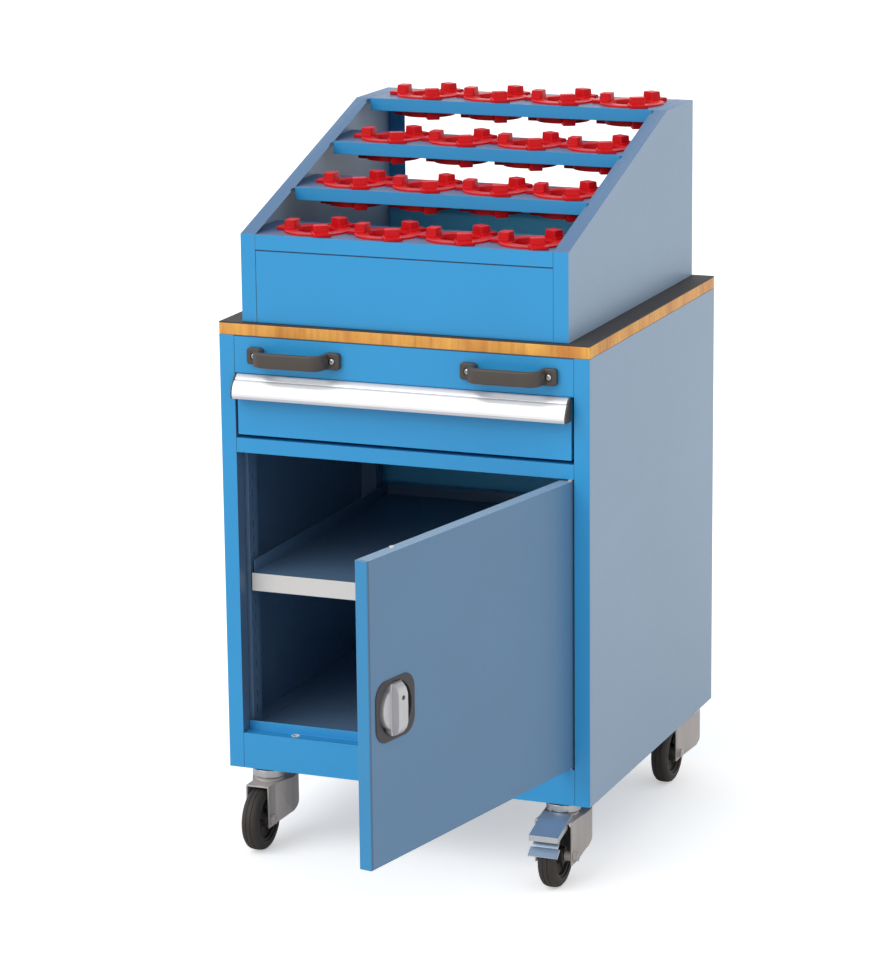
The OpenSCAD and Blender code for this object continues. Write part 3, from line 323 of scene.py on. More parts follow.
def when_closed(point):
    """Where a point of the open door lies once the door is closed."""
    return (np.array(point) - PIN) @ DOOR_TURN.T + PIN


def foot_of(node):
    """Middle of a node's lowest points."""
    points = points_of(node)
    low = points[points[:, 2] < points[:, 2].min() + 0.2 * MM]
    return (low.min(0) + low.max(0)) / 2


def turned(part, degrees):
    """The part turned about Z."""
    points, faces = part
    return points @ turn_rows(math.radians(degrees)), faces


def block(long, wide, corner, tall, draft, crown):
    """Moulded block on Z: rounded rectangles drawn in evenly with height by the draft, then by a
    quarter round of radius crown to its top face."""
    q = quarter(5)
    z = np.concatenate([[0, tall - crown], tall - crown * (1 - q[1:, 1])])
    inset = np.concatenate([[0, draft], draft + crown * q[1:, 0]])
    return levels([rounded_rectangle(long - 2 * d, wide - 2 * d, corner - 0.3 * d, 4) for d in inset], z)


# Pieces

def finished(obj, body, material, replaced):
    """Links a new object, gives it its finish and hangs it on its body."""
    obj.data.materials.clear()
    obj.data.materials.append(material)
    bpy.context.scene.collection.objects.link(obj)
    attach(obj, body)
    if replaced:
        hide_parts(*replaced)


def rounding(obj, width, segments=2, clamp=False):
    """A live Bevel that rounds every sharp edge."""
    bevel = obj.modifiers.new("Rounding", "BEVEL")
    bevel.width = width
    bevel.segments = segments
    bevel.limit_method = "ANGLE"
    bevel.angle_limit = math.radians(SHARP)
    bevel.use_clamp_overlap = clamp
    bevel.harden_normals = True


def smooth(mesh, angle=SHARP):
    """Smooth shading but for the edges that turn by more than the angle."""
    mesh.polygons.foreach_set("use_smooth", np.ones(len(mesh.polygons), bool))
    mesh.set_sharp_from_angle(angle=math.radians(angle))


def piece(name, body, parts, material, replaced=(), sharp=SHARP):
    """One object from (points, faces) parts: doubles merged, faces turned outwards, smooth but
    for sharp edges."""
    start, faces = 0, []
    for points, part_faces in parts:
        faces += [[i + start for i in face] for face in part_faces]
        start += len(points)
    mesh = bpy.data.meshes.new(name)
    mesh.from_pydata(np.vstack([p for p, _ in parts]).tolist(), [], faces)
    bm = bmesh.new()
    bm.from_mesh(mesh)
    bmesh.ops.remove_doubles(bm, verts=bm.verts, dist=TINY)
    bmesh.ops.recalc_face_normals(bm, faces=bm.faces)
    bm.to_mesh(mesh)
    bm.free()
    smooth(mesh, sharp)
    finished(bpy.data.objects.new(name, mesh), body, material, replaced)


def rounded_node(node, material, width, segments=2, drawn_in=(0, 0, 0), clamp=False):
    """A merged copy of a CAD node, its flat faces made whole again and its edges rounded. Drawn
    in, it is scaled about its middle so that each side moves inwards by that much."""
    source = NODES[node]
    bm = bmesh.new()
    bm.from_mesh(source.data)
    if any(drawn_in):
        lo, hi = box(node)
        factor = 1 - 2 * np.array(drawn_in) / (hi - lo)
        shift = (lo + hi) / 2 * (1 - factor)
        rows = np.column_stack([np.diag(factor), shift])
        bm.transform(Matrix([*rows.tolist(), [0, 0, 0, 1]]))
    bmesh.ops.remove_doubles(bm, verts=bm.verts, dist=2 * TINY)
    bmesh.ops.dissolve_limit(bm, angle_limit=math.radians(FLAT), use_dissolve_boundaries=False,
                             verts=bm.verts, edges=bm.edges, delimit=set())
    mesh = bpy.data.meshes.new(node + "_rounded")
    bm.to_mesh(mesh)
    bm.free()
    smooth(mesh)
    obj = bpy.data.objects.new(node + "_rounded", mesh)
    rounding(obj, width, segments, clamp)
    finished(obj, source["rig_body"], material, [node])


# Finishes

class Finish:
    """A material under construction: add() makes a node, sets it up and links what is given as
    a socket."""

    def __init__(self, name):
        self.material = bpy.data.materials.new(name)
        self.material.use_nodes = True
        self.tree = self.material.node_tree
        self.shader = self.tree.nodes["Principled BSDF"]
        texture = self.add("TexCoord").outputs
        self.place, self.normal = texture["Object"], texture["Normal"]

    def add(self, kind, sockets=None, **settings):
        node = self.tree.nodes.new("ShaderNode" + kind)
        for key, value in settings.items():
            setattr(node, key, value)
        for key, value in (sockets or {}).items():
            self.join(value, node.inputs[key])
        return node

    def join(self, value, socket):
        if isinstance(value, bpy.types.NodeSocket):
            self.tree.links.new(value, socket)
        elif socket.type == "RGBA" and len(value) == 3:
            socket.default_value = (*value, 1)
        else:
            socket.default_value = value

    def set(self, **values):
        for key, value in values.items():
            self.join(value, self.shader.inputs[key.replace("_", " ")])

    def math(self, operation, a, b=0.0):
        return self.add("Math", {0: a, 1: b}, operation=operation).outputs[0]

    def mix(self, factor, a, b, blend="MIX"):
        return self.add("Mix", {0: factor, 6: a, 7: b}, data_type="RGBA",
                        blend_type=blend).outputs[2]

    def dimmed(self, tone, factor):
        """A tone made darker or brighter by a factor."""
        grey = self.add("CombineColor", {0: factor, 1: factor, 2: factor}).outputs[0]
        return self.mix(1.0, tone, grey, "MULTIPLY")

    def stretched(self, x, y, z):
        return self.add("Mapping", {"Vector": self.place, "Scale": (x, y, z)}).outputs[0]

    def noise(self, scale, detail=2.0, vector=None, rough=0.5):
        return self.add("TexNoise", {"Vector": vector or self.place, "Scale": scale,
                                     "Detail": detail, "Roughness": rough}).outputs["Fac"]

    def spread(self, value, low, high, a=0.0, b=1.0, kind="LINEAR"):
        """value mapped from low..high to a..b."""
        return self.add("MapRange", {0: value, 1: low, 2: high, 3: a, 4: b},
                        interpolation_type=kind).outputs[0]

    def varied(self, noise, a=0.0, b=1.0):
        """A noise, of which nearly all lies from 0.3 to 0.7, mapped to a..b."""
        return self.spread(noise, 0.3, 0.7, a, b)

    def bump(self, height, distance, strength):
        return self.add("Bump", {"Height": height, "Distance": distance,
                                 "Strength": strength}).outputs[0]

    def split(self, vector):
        """X, Y and Z of a vector."""
        return self.add("SeparateXYZ", {0: vector}).outputs[:3]

    def along(self, vector, direction):
        """How far a vector reaches in a direction."""
        return self.add("VectorMath", {0: vector, 1: direction},
                        operation="DOT_PRODUCT").outputs["Value"]

    def turned_to(self, direction, low, high):
        """1 where the surface's own normal points in the direction, 0 where it doesn't."""
        return self.spread(self.along(self.normal, direction), low, high, kind="SMOOTHSTEP")

    def seamed(self, tone, seams, shade):
        """tone with bands of shade: each has a direction, the place along it, half the band's
        width and its depth."""
        for direction, at, half, depth in seams:
            off = self.math("ABSOLUTE", self.math("SUBTRACT", self.along(self.place, direction), at))
            band = self.spread(off, half * 0.4, half, depth, 0.0, "SMOOTHSTEP")
            tone = self.mix(band, tone, shade)
        return tone


def enamel(name, front, side=None, level=None, inside=None, seams=(), rear=None, under=False):
    """Powder coat: one tone for faces that look forwards or back, and painted light and shade by
    facing: other tones for the sides, for what looks up and for what looks inwards. With faint
    clouds and a fine orange peel. A seam is the painted shadow where two folds meet. With under,
    what looks down has the painted tone of what looks up."""
    f = Finish(name)
    x, _, z = f.split(f.normal)
    # Painted light and shade by facing: faces that look back, sideways, up and inwards each take their
    # own lighter or darker tone of the paint.
    tone = f.mix(f.turned_to((0, 1, 0), 0.2, 0.6), front, rear or front)
    if under:
        z = f.math("ABSOLUTE", z)
    if side is not None:
        tone = f.mix(f.spread(f.math("ABSOLUTE", x), 0.5, 0.8, kind="SMOOTHSTEP"), tone, side)
    if level is not None:
        tone = f.mix(f.spread(z, 0.5, 0.8, kind="SMOOTHSTEP"), tone, level)
    if inside is not None:
        outwards = f.math("MULTIPLY", x, f.math("SIGN", f.split(f.place)[0]))
        tone = f.mix(f.spread(outwards, -0.8, -0.5, 1.0, 0.0, "SMOOTHSTEP"), tone, inside)
    tone = f.seamed(tone, seams, SEAM_SHADOW)
    cloud = f.varied(f.noise(5, 3), 0.975, 1.02)
    grain = f.varied(f.noise(1400, 1), 0.985, 1.015)
    f.set(Base_Color=f.dimmed(tone, f.math("MULTIPLY", cloud, grain)),
          Roughness=f.varied(f.noise(160, 2), 0.36, 0.44),
          Normal=f.bump(f.noise(700, 2), 0.12 * MM, 0.35))
    return f.material


def plated(name, tint, low, high, fine=600, stretch=(1, 1, 1), metal=1.0, deep=0.82,
           shade_stretch=1.0, level=None, seams=(), shade=None):
    """Plated or brushed metal: two close tones, drawn out upwards into upright bands of painted light
    and shade where squeezed in Z, uneven roughness from low to high and fine rolling marks. Seams
    are bands of painted shade, and level is a painted reflection on what looks up."""
    f = Finish(name)
    lines = f.noise(fine, 3, f.stretched(*stretch))
    # Painted light and shade: squeezed in Z, these tones become upright bands like the shading of a
    # curved cheek.
    tone_and_shade_patches = f.noise(26, 4, f.stretched(1, 1, shade_stretch))
    dark = tuple(c * deep for c in tint)
    tone = f.seamed(f.mix(f.spread(tone_and_shade_patches, 0.35, 0.65), dark, tint), seams, shade)
    # Painted reflection: faces that look up take the level tone.
    if level is not None:
        tone = f.mix(f.turned_to(UP, 0.3, 0.6), tone, level)
    f.set(Base_Color=tone, Metallic=metal,
          Roughness=f.spread(f.math("ADD", lines, tone_and_shade_patches), 0.6, 1.4, low, high),
          Normal=f.bump(lines, 0.04 * MM, 0.3))
    return f.material


def moulded(name, tint, roughness, grain, depth, spread=0.03, gloss=0.4, crest=None):
    """Moulded plastic or rubber: a fine eroded grain, its depth in mm, with a faint change of tone and
    gloss. A crest is a direction and the tone of what points that way, a painted highlight."""
    f = Finish(name)
    # Painted highlight: faces that point along the crest's direction take its tone.
    if crest:
        tint = f.mix(f.turned_to(crest[0], 0.75, 0.95), tint, crest[1])
    skin = f.noise(grain, 3)
    f.set(Base_Color=f.dimmed(tint, f.varied(f.noise(30, 3), 1 - spread, 1 + spread)),
          Roughness=f.varied(skin, roughness - 0.05, roughness + 0.05),
          Normal=f.bump(skin, depth * MM, 0.5), Specular_IOR_Level=gloss)
    return f.material


def beech(name, pale, dark, stave):
    """Glued staves: a tone for each stave and length, with streaks, clouds and small flecks
    along the grain and a dark line at each joint."""
    f = Finish(name)
    x, y, _ = f.split(f.place)
    drift = f.varied(f.noise(14, 1, f.stretched(1, 0.3, 0)), -0.9, 0.9)
    across = f.math("ADD", f.math("DIVIDE", x, stave), drift)
    column = f.math("FLOOR", across)
    offset = f.add("TexWhiteNoise", {"W": column}, noise_dimensions="1D").outputs["Value"]
    lengths = f.math("ADD", f.math("DIVIDE", y, stave * 1.2), f.math("MULTIPLY", offset, 7.0))
    row = f.math("FLOOR", lengths)
    cell = f.add("CombineXYZ", {0: column, 1: row, 2: 0.5}).outputs[0]
    tone = f.add("TexWhiteNoise", {"Vector": cell}, noise_dimensions="3D").outputs["Value"]
    grain = f.noise(90, 5, f.stretched(9, 1, 9), 0.6)
    streaks = f.spread(f.noise(110, 4, f.stretched(1, 1, 0.12), 0.65), 0.34, 0.66)
    flecks = f.spread(f.noise(700, 2, f.stretched(1, 0.18, 1)), 0.56, 0.66)
    clouds = f.spread(f.noise(26, 3, f.stretched(1, 1, 0.4)), 0.35, 0.65)
    mixed = f.math("ADD", f.math("MULTIPLY", tone, 0.3), f.math("MULTIPLY", streaks, 0.28))
    mixed = f.math("ADD", mixed, f.math("MULTIPLY", clouds, 0.42))
    wood = f.mix(mixed, dark, pale)
    wood = f.mix(f.math("MULTIPLY", flecks, 0.35), wood, tuple(c * 0.62 for c in dark))
    near = f.math("ABSOLUTE", f.math("SUBTRACT", f.math("FRACT", across), 0.5))
    joint = f.spread(near, 0.475, 0.497)
    wood = f.mix(f.math("MULTIPLY", joint, 0.3), wood, tuple(c * 0.5 for c in dark))
    relief = f.math("SUBTRACT", grain, f.math("MULTIPLY", joint, 0.8))
    f.set(Base_Color=wood, Roughness=f.varied(grain, 0.4, 0.55),
          Normal=f.bump(relief, 0.1 * MM, 0.5), Coat_Weight=0.1, Coat_Roughness=0.3)
    return f.material


# Painted shadow: the colour of the bands where two folds meet.
SEAM_SHADOW = srgb(12, 40, 78)  # shadow where two folds meet
UP = (0, 0, 1)
FINISHES = {}


# Seams, each as Finish.seamed() reads it

def front_seams():
    """Shadows under the lowest tier's front fold, beside the rack's left post and under the
    worktop's front edge."""
    lo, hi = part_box("rack_front")
    fold = UP, hi.z + 0.15 * MM, 1.5 * MM, 0.9
    post = (1, 0, 0), lo.x, 1.1 * MM, 0.8
    top = UP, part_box("worktop")[0].z - 0.2 * MM, 1.9 * MM, 0.85
    return fold, post, top


def grip_bands():
    """The shaded ledge, groove and lip of the grip rail."""
    lo, hi = (v.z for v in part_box("drawer_grip"))
    ledge = UP, hi - 1.5 * MM, 5.5 * MM, 0.2
    groove = UP, hi - 8 * MM, 1.2 * MM, 0.5
    lip = UP, lo, 6 * MM, 0.4
    return ledge, groove, lip


def door_seam():
    """Shade of the rounded fold along the door's free edge."""
    free = float((points_of("door_skin") @ DOOR_TURN[0]).min())
    return tuple(DOOR_TURN[0]), free + 3.2 * MM, 3 * MM, 0.45


def finishes():
    """All the materials, made once from the scene's colours."""
    if FINISHES:
        return FINISHES
    c = bpy.context.scene.cabinet_finish
    stave = bpy.context.scene.cabinet_detail.stave

    def of(name):
        return tuple(getattr(c, name))
    blue, side, level, inside = of("blue"), of("side"), of("level"), of("inside")
    fold, post, top = front_seams()
    rolled = (1, 1, 0.2)
    brushed = (0.02, 1, 1)
    FINISHES.update(
        # Painted light and shade by facing over the one blue paint: sheen on the sides, darker tones on
        # what looks up and inwards, and on the door a darker front and a greyer broad face.
        body=enamel("body enamel", blue, side, level, inside),
        rack=enamel("rack enamel", blue, side, of("slope")),
        rail=enamel("front enamel", blue),
        fascia=enamel("fascia enamel", blue, seams=[top]),
        panel=enamel("rack front enamel", blue, seams=[fold, post]),
        fold=enamel("lowest tier enamel", blue, blue, level, seams=[fold]),
        tier=enamel("tier enamel", blue, blue, level),
        door=enamel("door enamel", of("edge"), of("door"), side, seams=[door_seam()]),
        # Painted light and shade inside the cupboard: the back wall's forward faces take the lighter
        # wall tone, faces that look back the front blue, and the rest the darker inside tone; the
        # uprights take the inside tone all over, and the shelf keeps its own grey only where it looks
        # forwards.
        inside=enamel("inside enamel", of("wall"), inside, inside, rear=blue, under=True),
        upright=enamel("upright enamel", inside),
        shelf=enamel("shelf enamel", of("shelf"), inside, inside, under=True),
        beech=beech("oiled beech", of("wood_pale"), of("wood_dark"), stave),
        mat=moulded("mat rubber", of("mat"), 0.6, 1200, 0.1, 0.05),
        red=moulded("red plastic", of("red"), 0.38, 700, 0.05, gloss=0.22),
        dark=moulded("dark plastic", of("dark_plastic"), 0.42, 1600, 0.12),
        bowl=moulded("bowl plastic", of("bowl"), 0.42, 1600, 0.12),
        # Painted light and shade on the turn handle: its outer faces take the crest tone as a painted
        # highlight, its flanks the darker dial tone.
        dial=moulded("grey plastic", of("dial"), 0.36, 900, 0.06,
                     crest=(tuple(-DOOR_TURN[1]), of("crest"))),
        rod=moulded("white plastic", of("rod"), 0.35, 900, 0.05),
        # The zinc's tones are drawn out into strong upright bands of painted light and shade.
        zinc=plated("zinc plate", of("zinc"), 0.38, 0.5, stretch=rolled, metal=0.35, deep=0.72,
                    shade_stretch=0.12),
        # The brake's faces that look up take a painted reflection of the blue body above.
        brake=plated("brake plate", of("steel"), 0.28, 0.4, stretch=rolled, metal=0.4, deep=0.92,
                     level=of("pressed")),
        steel=plated("bright steel", of("steel"), 0.18, 0.3, fine=1200),
        aluminium=plated("anodised aluminium", of("aluminium"), 0.34, 0.42, fine=500,
                         stretch=brushed, metal=0.5, deep=0.97, seams=grip_bands(),
                         shade=of("shade")),
        tyre=moulded("tyre rubber", of("tyre"), 0.62, 500, 0.15, 0.06),
        hub=moulded("hub plastic", of("hub"), 0.45, 900, 0.1, 0.05),
    )
    return FINISHES


# Operators, one for each piece or group of like pieces

class CABINET_OT_carcass(bpy.types.Operator):
    """Rounds and paints the folded sheets of the body"""
    bl_idname = "cabinet.carcass"
    bl_label = "Body"

    def execute(self, context):
        f, d = finishes(), context.scene.cabinet_detail
        for node, look in (("side_panel_left", "body"), ("side_panel_right", "body"),
                           ("bottom_rail", "rail"), ("mid_rail", "rail"), ("top_fascia", "fascia")):
            rounded_node(node, f[look], d.sheet_edge)
        self.floor_edges(f["inside"])
        self.ledge_bush(f["rod"])
        for node in ("back_panel", "floor_pan", "base_channels", "top_rear_rail"):
            rounded_node(node, f["inside"], d.sheet_edge)
        return {"FINISHED"}

    @staticmethod
    def floor_edges(material):
        """Strips that close the gaps between the cupboard's floor and the walls beside it."""
        sheet, edge = 1.5 * MM, 0.3 * MM
        lo, hi = box("floor_pan")
        wall = box("shelf_uprights")[1][0]
        middle = (lo + hi) / 2
        strip = plate(wall - hi[0] - edge, hi[1] - lo[1], edge, hi[2] - sheet, hi[2], edge, 2)
        strips = [placed(strip, [side * (wall + hi[0]) / 2, middle[1], 0]) for side in (-1, 1)]
        piece("floor_edges", "cabinet", strips, material)

    @staticmethod
    def ledge_bush(material):
        """A flanged bush in the ledge's hole, under the lower latch rod of the closed door."""
        bore, tube, flange, deep, lip = 4.4, 5.3, 7, 7, 0.5
        bush = lathe(np.array([[bore, -deep], [bore, lip - 0.3], [bore + 0.3, lip],
                               [flange - 0.3, lip], [flange, lip - 0.2], [flange, 0],
                               [tube, 0], [tube, -deep]]) * MM, 48, True)
        at = when_closed(foot_of("latch_rod_lower"))
        ledge = box("floor_pan")[1][2]
        piece("ledge_bush", "cabinet",
              [placed(bush, [at[0], at[1], ledge])], material)


class CABINET_OT_shelf(bpy.types.Operator):
    """Rounds and paints the shelf, its slotted uprights and its clips"""
    bl_idname = "cabinet.shelf"
    bl_label = "Shelf"

    def execute(self, context):
        f, d = finishes(), context.scene.cabinet_detail
        rounded_node("shelf_uprights", f["upright"], d.thin_edge)
        rounded_node("shelf", f["shelf"], d.thin_edge, 3)
        lo, hi = box("shelf")
        rim, tall, edge = 1.2 * MM, 19 * MM, 0.3 * MM
        before, beside, back_by = 8 * MM, 1 * MM, 3 * MM
        deep, wide = hi[1] - lo[1] - before, hi[0] - lo[0] - 2 * beside
        middle = (lo[1] + hi[1]) / 2 + back_by
        side = plate(rim, deep, edge, hi[2] - rim, hi[2] + tall, edge, 2)
        back = plate(wide, rim, edge, hi[2] - rim, hi[2] + tall, edge, 2)
        rims = [placed(side, [end * (wide - rim) / 2, middle, 0]) for end in (-1, 1)]
        rims.append(placed(back, [0, middle + (deep - rim) / 2, 0]))
        piece("shelf_rims", "cabinet", rims, f["upright"])
        rounded_node("shelf_clips", f["steel"], d.thin_edge)
        return {"FINISHED"}


class CABINET_OT_worktop(bpy.types.Operator):
    """Makes the beech top and the ribbed mat"""
    bl_idname = "cabinet.worktop"
    bl_label = "Worktop and mat"

    def execute(self, context):
        f, d = finishes(), context.scene.cabinet_detail
        lo, hi = box("worktop")
        corner, edge = 2 * MM, 1.2 * MM
        middle = (lo + hi) / 2 * [1, 1, 0]
        board = plate(hi[0] - lo[0], hi[1] - lo[1], corner, lo[2], hi[2], edge)
        piece("beech_top", "cabinet", [placed(board, middle)], f["beech"], ["worktop"])
        self.mat(d, f["mat"])
        return {"FINISHED"}

    @staticmethod
    def mat(d, material):
        """The mat's top dips between its ribs by the square of a raised cosine, drawn with eight
        points to a rib."""
        lo, hi = box("mat")
        count = int((hi[1] - lo[1]) / d.rib_pitch)
        y = np.linspace(lo[1], hi[1], 8 * count + 1)
        turn = 2 * math.pi * count * (y - lo[1]) / (hi[1] - lo[1])
        crest = hi[2] - d.rib_height * (0.5 - 0.5 * np.cos(turn)) ** 2
        outline = np.vstack([np.column_stack([y, crest]), [[hi[1], lo[2]], [lo[1], lo[2]]]])
        piece("ribbed_mat", "cabinet", [extruded(outline, lo[0], hi[0])], material,
              ["mat"])


class CABINET_OT_rack(bpy.types.Operator):
    """Rounds and paints the stepped rack"""
    bl_idname = "cabinet.rack"
    bl_label = "Rack"

    def execute(self, context):
        f, d = finishes(), context.scene.cabinet_detail
        for node, look in (("rack_side_left", "rack"), ("rack_side_right", "rack"),
                           ("rack_front", "panel"), ("rack_back", "inside"), ("tier_1", "fold"),
                           ("tier_2", "tier"), ("tier_3", "tier"), ("tier_4", "tier")):
            rounded_node(node, f[look], d.sheet_edge)
        return {"FINISHED"}


class CABINET_OT_inserts(bpy.types.Operator):
    """Makes the sixteen moulded tool holders"""
    bl_idname = "cabinet.inserts"
    bl_label = "Tool-holder inserts"

    def execute(self, context):
        f, d = finishes(), context.scene.cabinet_detail
        bore, collar, flange, reach = 32, 43, 51, 63
        thick, deep, tall = 3, 31, 16
        ring = lathe(np.array([[bore, -deep], [bore, thick - 1], [bore + 0.3, thick - 0.3],
                               [bore + 1, thick], [flange - 0.9, thick],
                               [flange - 0.3, thick - 0.3], [flange, thick - 0.9], [flange, 0],
                               [collar, 0], [collar, -deep]]) * MM, 72, True)
        stud = block(19 * MM, 24 * MM, 2.6 * MM, tall * MM, 0.9 * MM, d.insert_edge)
        tongue = plate((reach - bore - 1) * MM, 28 * MM, 2.5 * MM, 0, 5.4 * MM, 0.8 * MM)
        prong = plate(18 * MM, 20 * MM, 1.5 * MM, -33 * MM, 0.2 * MM, 0.8 * MM)
        key = plate(5 * MM, 23 * MM, 1.5 * MM, -26 * MM, 0.5 * MM, 0.6 * MM)
        spoke = ((stud, bore + 9.8), (tongue, (reach + bore + 1) / 2), (prong, collar + 5),
                 (key, bore - 0.7))
        holder = [ring] + [turned(placed(part, [out * MM, 0, 0]), angle)
                           for angle in (60, 180, 300) for part, out in spoke]
        for i in range(1, 5):
            node = f"inserts_{i}"
            lo, hi = box(node)
            x = np.linspace(lo[0] + reach * MM, hi[0] - flange * MM, 4)
            parts = [placed(part, [at, (lo[1] + hi[1]) / 2, hi[2] - tall * MM])
                     for at in x for part in holder]
            piece(f"tool_holders_{i}", NODES[node]["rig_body"], parts, f["red"],
                  [node])
        return {"FINISHED"}


class CABINET_OT_handles(bpy.types.Operator):
    """Makes the two bow handles and their screws"""
    bl_idname = "cabinet.handles"
    bl_label = "Bow handles"

    def execute(self, context):
        f = finishes()
        lo, hi = box("bow_handles")
        z = (lo[2] + hi[2]) / 2
        pitch, wide, tall, thick = 128 * MM, 25 * MM, 0.93 * (hi[2] - lo[2]), 9 * MM
        round_by, crown, sunk = 5 * MM, 2 * MM, 1.4 * MM
        centre = hi[0] - (pitch + wide) / 2
        bar = rounded_rectangle(9 * MM, 23.6 * MM, 2.8 * MM, 5)
        bow = np.array([[-55, -1], [-53.5, -34], [53.5, -34], [55, -1]]) * MM
        spine = filleted(bow, 15 * MM, 10, False)
        leg = spine[0] + (spine[1] - spine[0]) * np.linspace(0.2, 0.8, 4)[:, None]
        spine = np.vstack([spine[:1], leg, spine[1:]])
        ring = rounded_rectangle(wide, tall, round_by, 5)
        angle = np.arctan2(ring[:, 1], ring[:, 0])
        hole = np.column_stack([np.cos(angle), np.sin(angle)]) * MM
        rows = [(ring, 0.0), (ring, thick - crown)]
        for inset, height in quarter()[1:] * crown:
            drawn = rounded_rectangle(wide - 2 * inset, tall - 2 * inset, round_by - inset, 5)
            rows.append((drawn, thick - crown + height))
        rows += [(hole * 7, thick), (hole * 6.4, thick - 0.5 * MM), (hole * 6.1, thick - sunk),
                 (hole * 2.5, thick - sunk)]
        foot = levels(*zip(*rows))
        for side, name in ((-1, "left"), (1, "right")):
            parts = [placed(carried(spine, bar), [side * centre, FRONT_Y, z])]
            parts += [placed(foot, [side * centre + end * pitch / 2, FRONT_Y, z], TO_FRONT)
                      for end in (-1, 1)]
            piece(f"bow_handle_{name}", "cabinet", parts, f["dark"],
                  ["bow_handles"] if side < 0 else [])
        screw = lathe(np.array([[0, 0.7], [1.9, 0.7], [2.1, 1.2], [2.4, 2.3], [3.4, 2.1],
                                [4.4, 1.4], [4.9, 0.4], [4.9, 0]]) * MM, 32)
        stem = lathe(np.array([[2.4, -14], [2.5, 0.1]]) * MM, 24)
        heads = [placed(part, [side * centre + end * pitch / 2, FRONT_Y - thick + sunk, z], TO_FRONT)
                 for side in (-1, 1) for end in (-1, 1) for part in (screw, stem)]
        piece("handle_screw_heads", "cabinet", heads, f["steel"], ["handle_screws"])
        return {"FINISHED"}


class CABINET_OT_drawer(bpy.types.Operator):
    """Makes the drawer, its grip rail with end caps and its slides"""
    bl_idname = "cabinet.drawer"
    bl_label = "Drawer"

    def execute(self, context):
        f, d = finishes(), context.scene.cabinet_detail
        side_gap, end_gap = 1.6 * MM, 1.5 * MM
        rounded_node("drawer_front", f["rail"], d.thin_edge, drawn_in=(side_gap, 0, end_gap))
        rounded_node("drawer_tray", f["inside"], d.thin_edge)
        for node in ("drawer_slides_fixed", "drawer_slides_inner", "drawer_slides_middle"):
            rounded_node(node, f["zinc"], d.thin_edge * 0.8)
        self.grip(f)
        return {"FINISHED"}

    @staticmethod
    def grip(f):
        """Rail and caps from one section, in mm from the drawer's front and the rail's foot. The
        face between its top and toe bulges by a parabola."""
        lo, hi = box("drawer_grip")
        ends = box("grip_caps")
        tall, cap, reach = (hi[2] - lo[2]) / MM, 3 * MM, -26
        top, toe = np.array([-14.4, tall - 8]), np.array([-25.8, 5.6])
        bulge = np.array([-0.96, 0.28]) * 2.6
        t = np.linspace(0, 1, 15)[:, None]
        face = top + (toe - top) * t + bulge * 4 * t * (1 - t)
        face[:, 0] = np.maximum(face[:, 0], reach)
        ledge = [[0, tall - 1], [-1, tall], [-5.6, tall], [-6.8, tall - 0.5], [-12.8, tall - 6.2],
                 [-13.2, tall - 7], [-12.9, tall - 7.8], [-13.4, tall - 8.4]]
        lip = [[-25.4, 4.9], [-24.9, 4.4], [-24.7, 1.6], [-24, 0.8], [-23, 1], [-22.8, 2.4]]
        back = [[-9, tall - 7], [-5, tall - 2.4], [-2, tall - 3], [-2, 0.3]]
        inner = face[::-1] + [2.1, -0.6]
        rail = np.vstack([[[0, 0.3]], ledge, face, lip, inner[1:-1], back])
        rail = extruded(rail * MM + [FRONT_Y, lo[2]], ends[0][0] + cap * 0.9, ends[1][0] - cap * 0.9)
        piece("grip_rail", "drawer", [rail], f["aluminium"], ["drawer_grip"], sharp=26)
        shape = np.vstack([[[0, 0.3], [0, tall], [-7, tall]], top - [0.8, -1.6], face[::4],
                           [[-25, 0.8]]])
        shape = filleted(shape, 1.1, 3) * MM + [FRONT_Y, lo[2]]
        shape = np.clip(shape, ends[0][1:], ends[1][1:])
        caps = [extruded(shape, x, x + cap, 0.9 * MM) for x in (ends[0][0], ends[1][0] - cap)]
        piece("grip_end_caps", "drawer", caps, f["dark"], ["grip_caps"])


class CABINET_OT_door(bpy.types.Operator):
    """Rounds and paints the door with its hinge and latch rods"""
    bl_idname = "cabinet.door"
    bl_label = "Door"

    def execute(self, context):
        f, d = finishes(), context.scene.cabinet_detail
        for node, look in (("door_skin", "door"), ("door_pan", "door"), ("hinge_pins", "steel"),
                           ("latch_cam", "steel"), ("hinge_bushes", "rod")):
            rounded_node(node, f[look], d.thin_edge)
        for node in ("latch_rod_upper", "latch_rod_lower"):
            rounded_node(node, f["rod"], ROD_EDGE, 3, clamp=True)
        return {"FINISHED"}


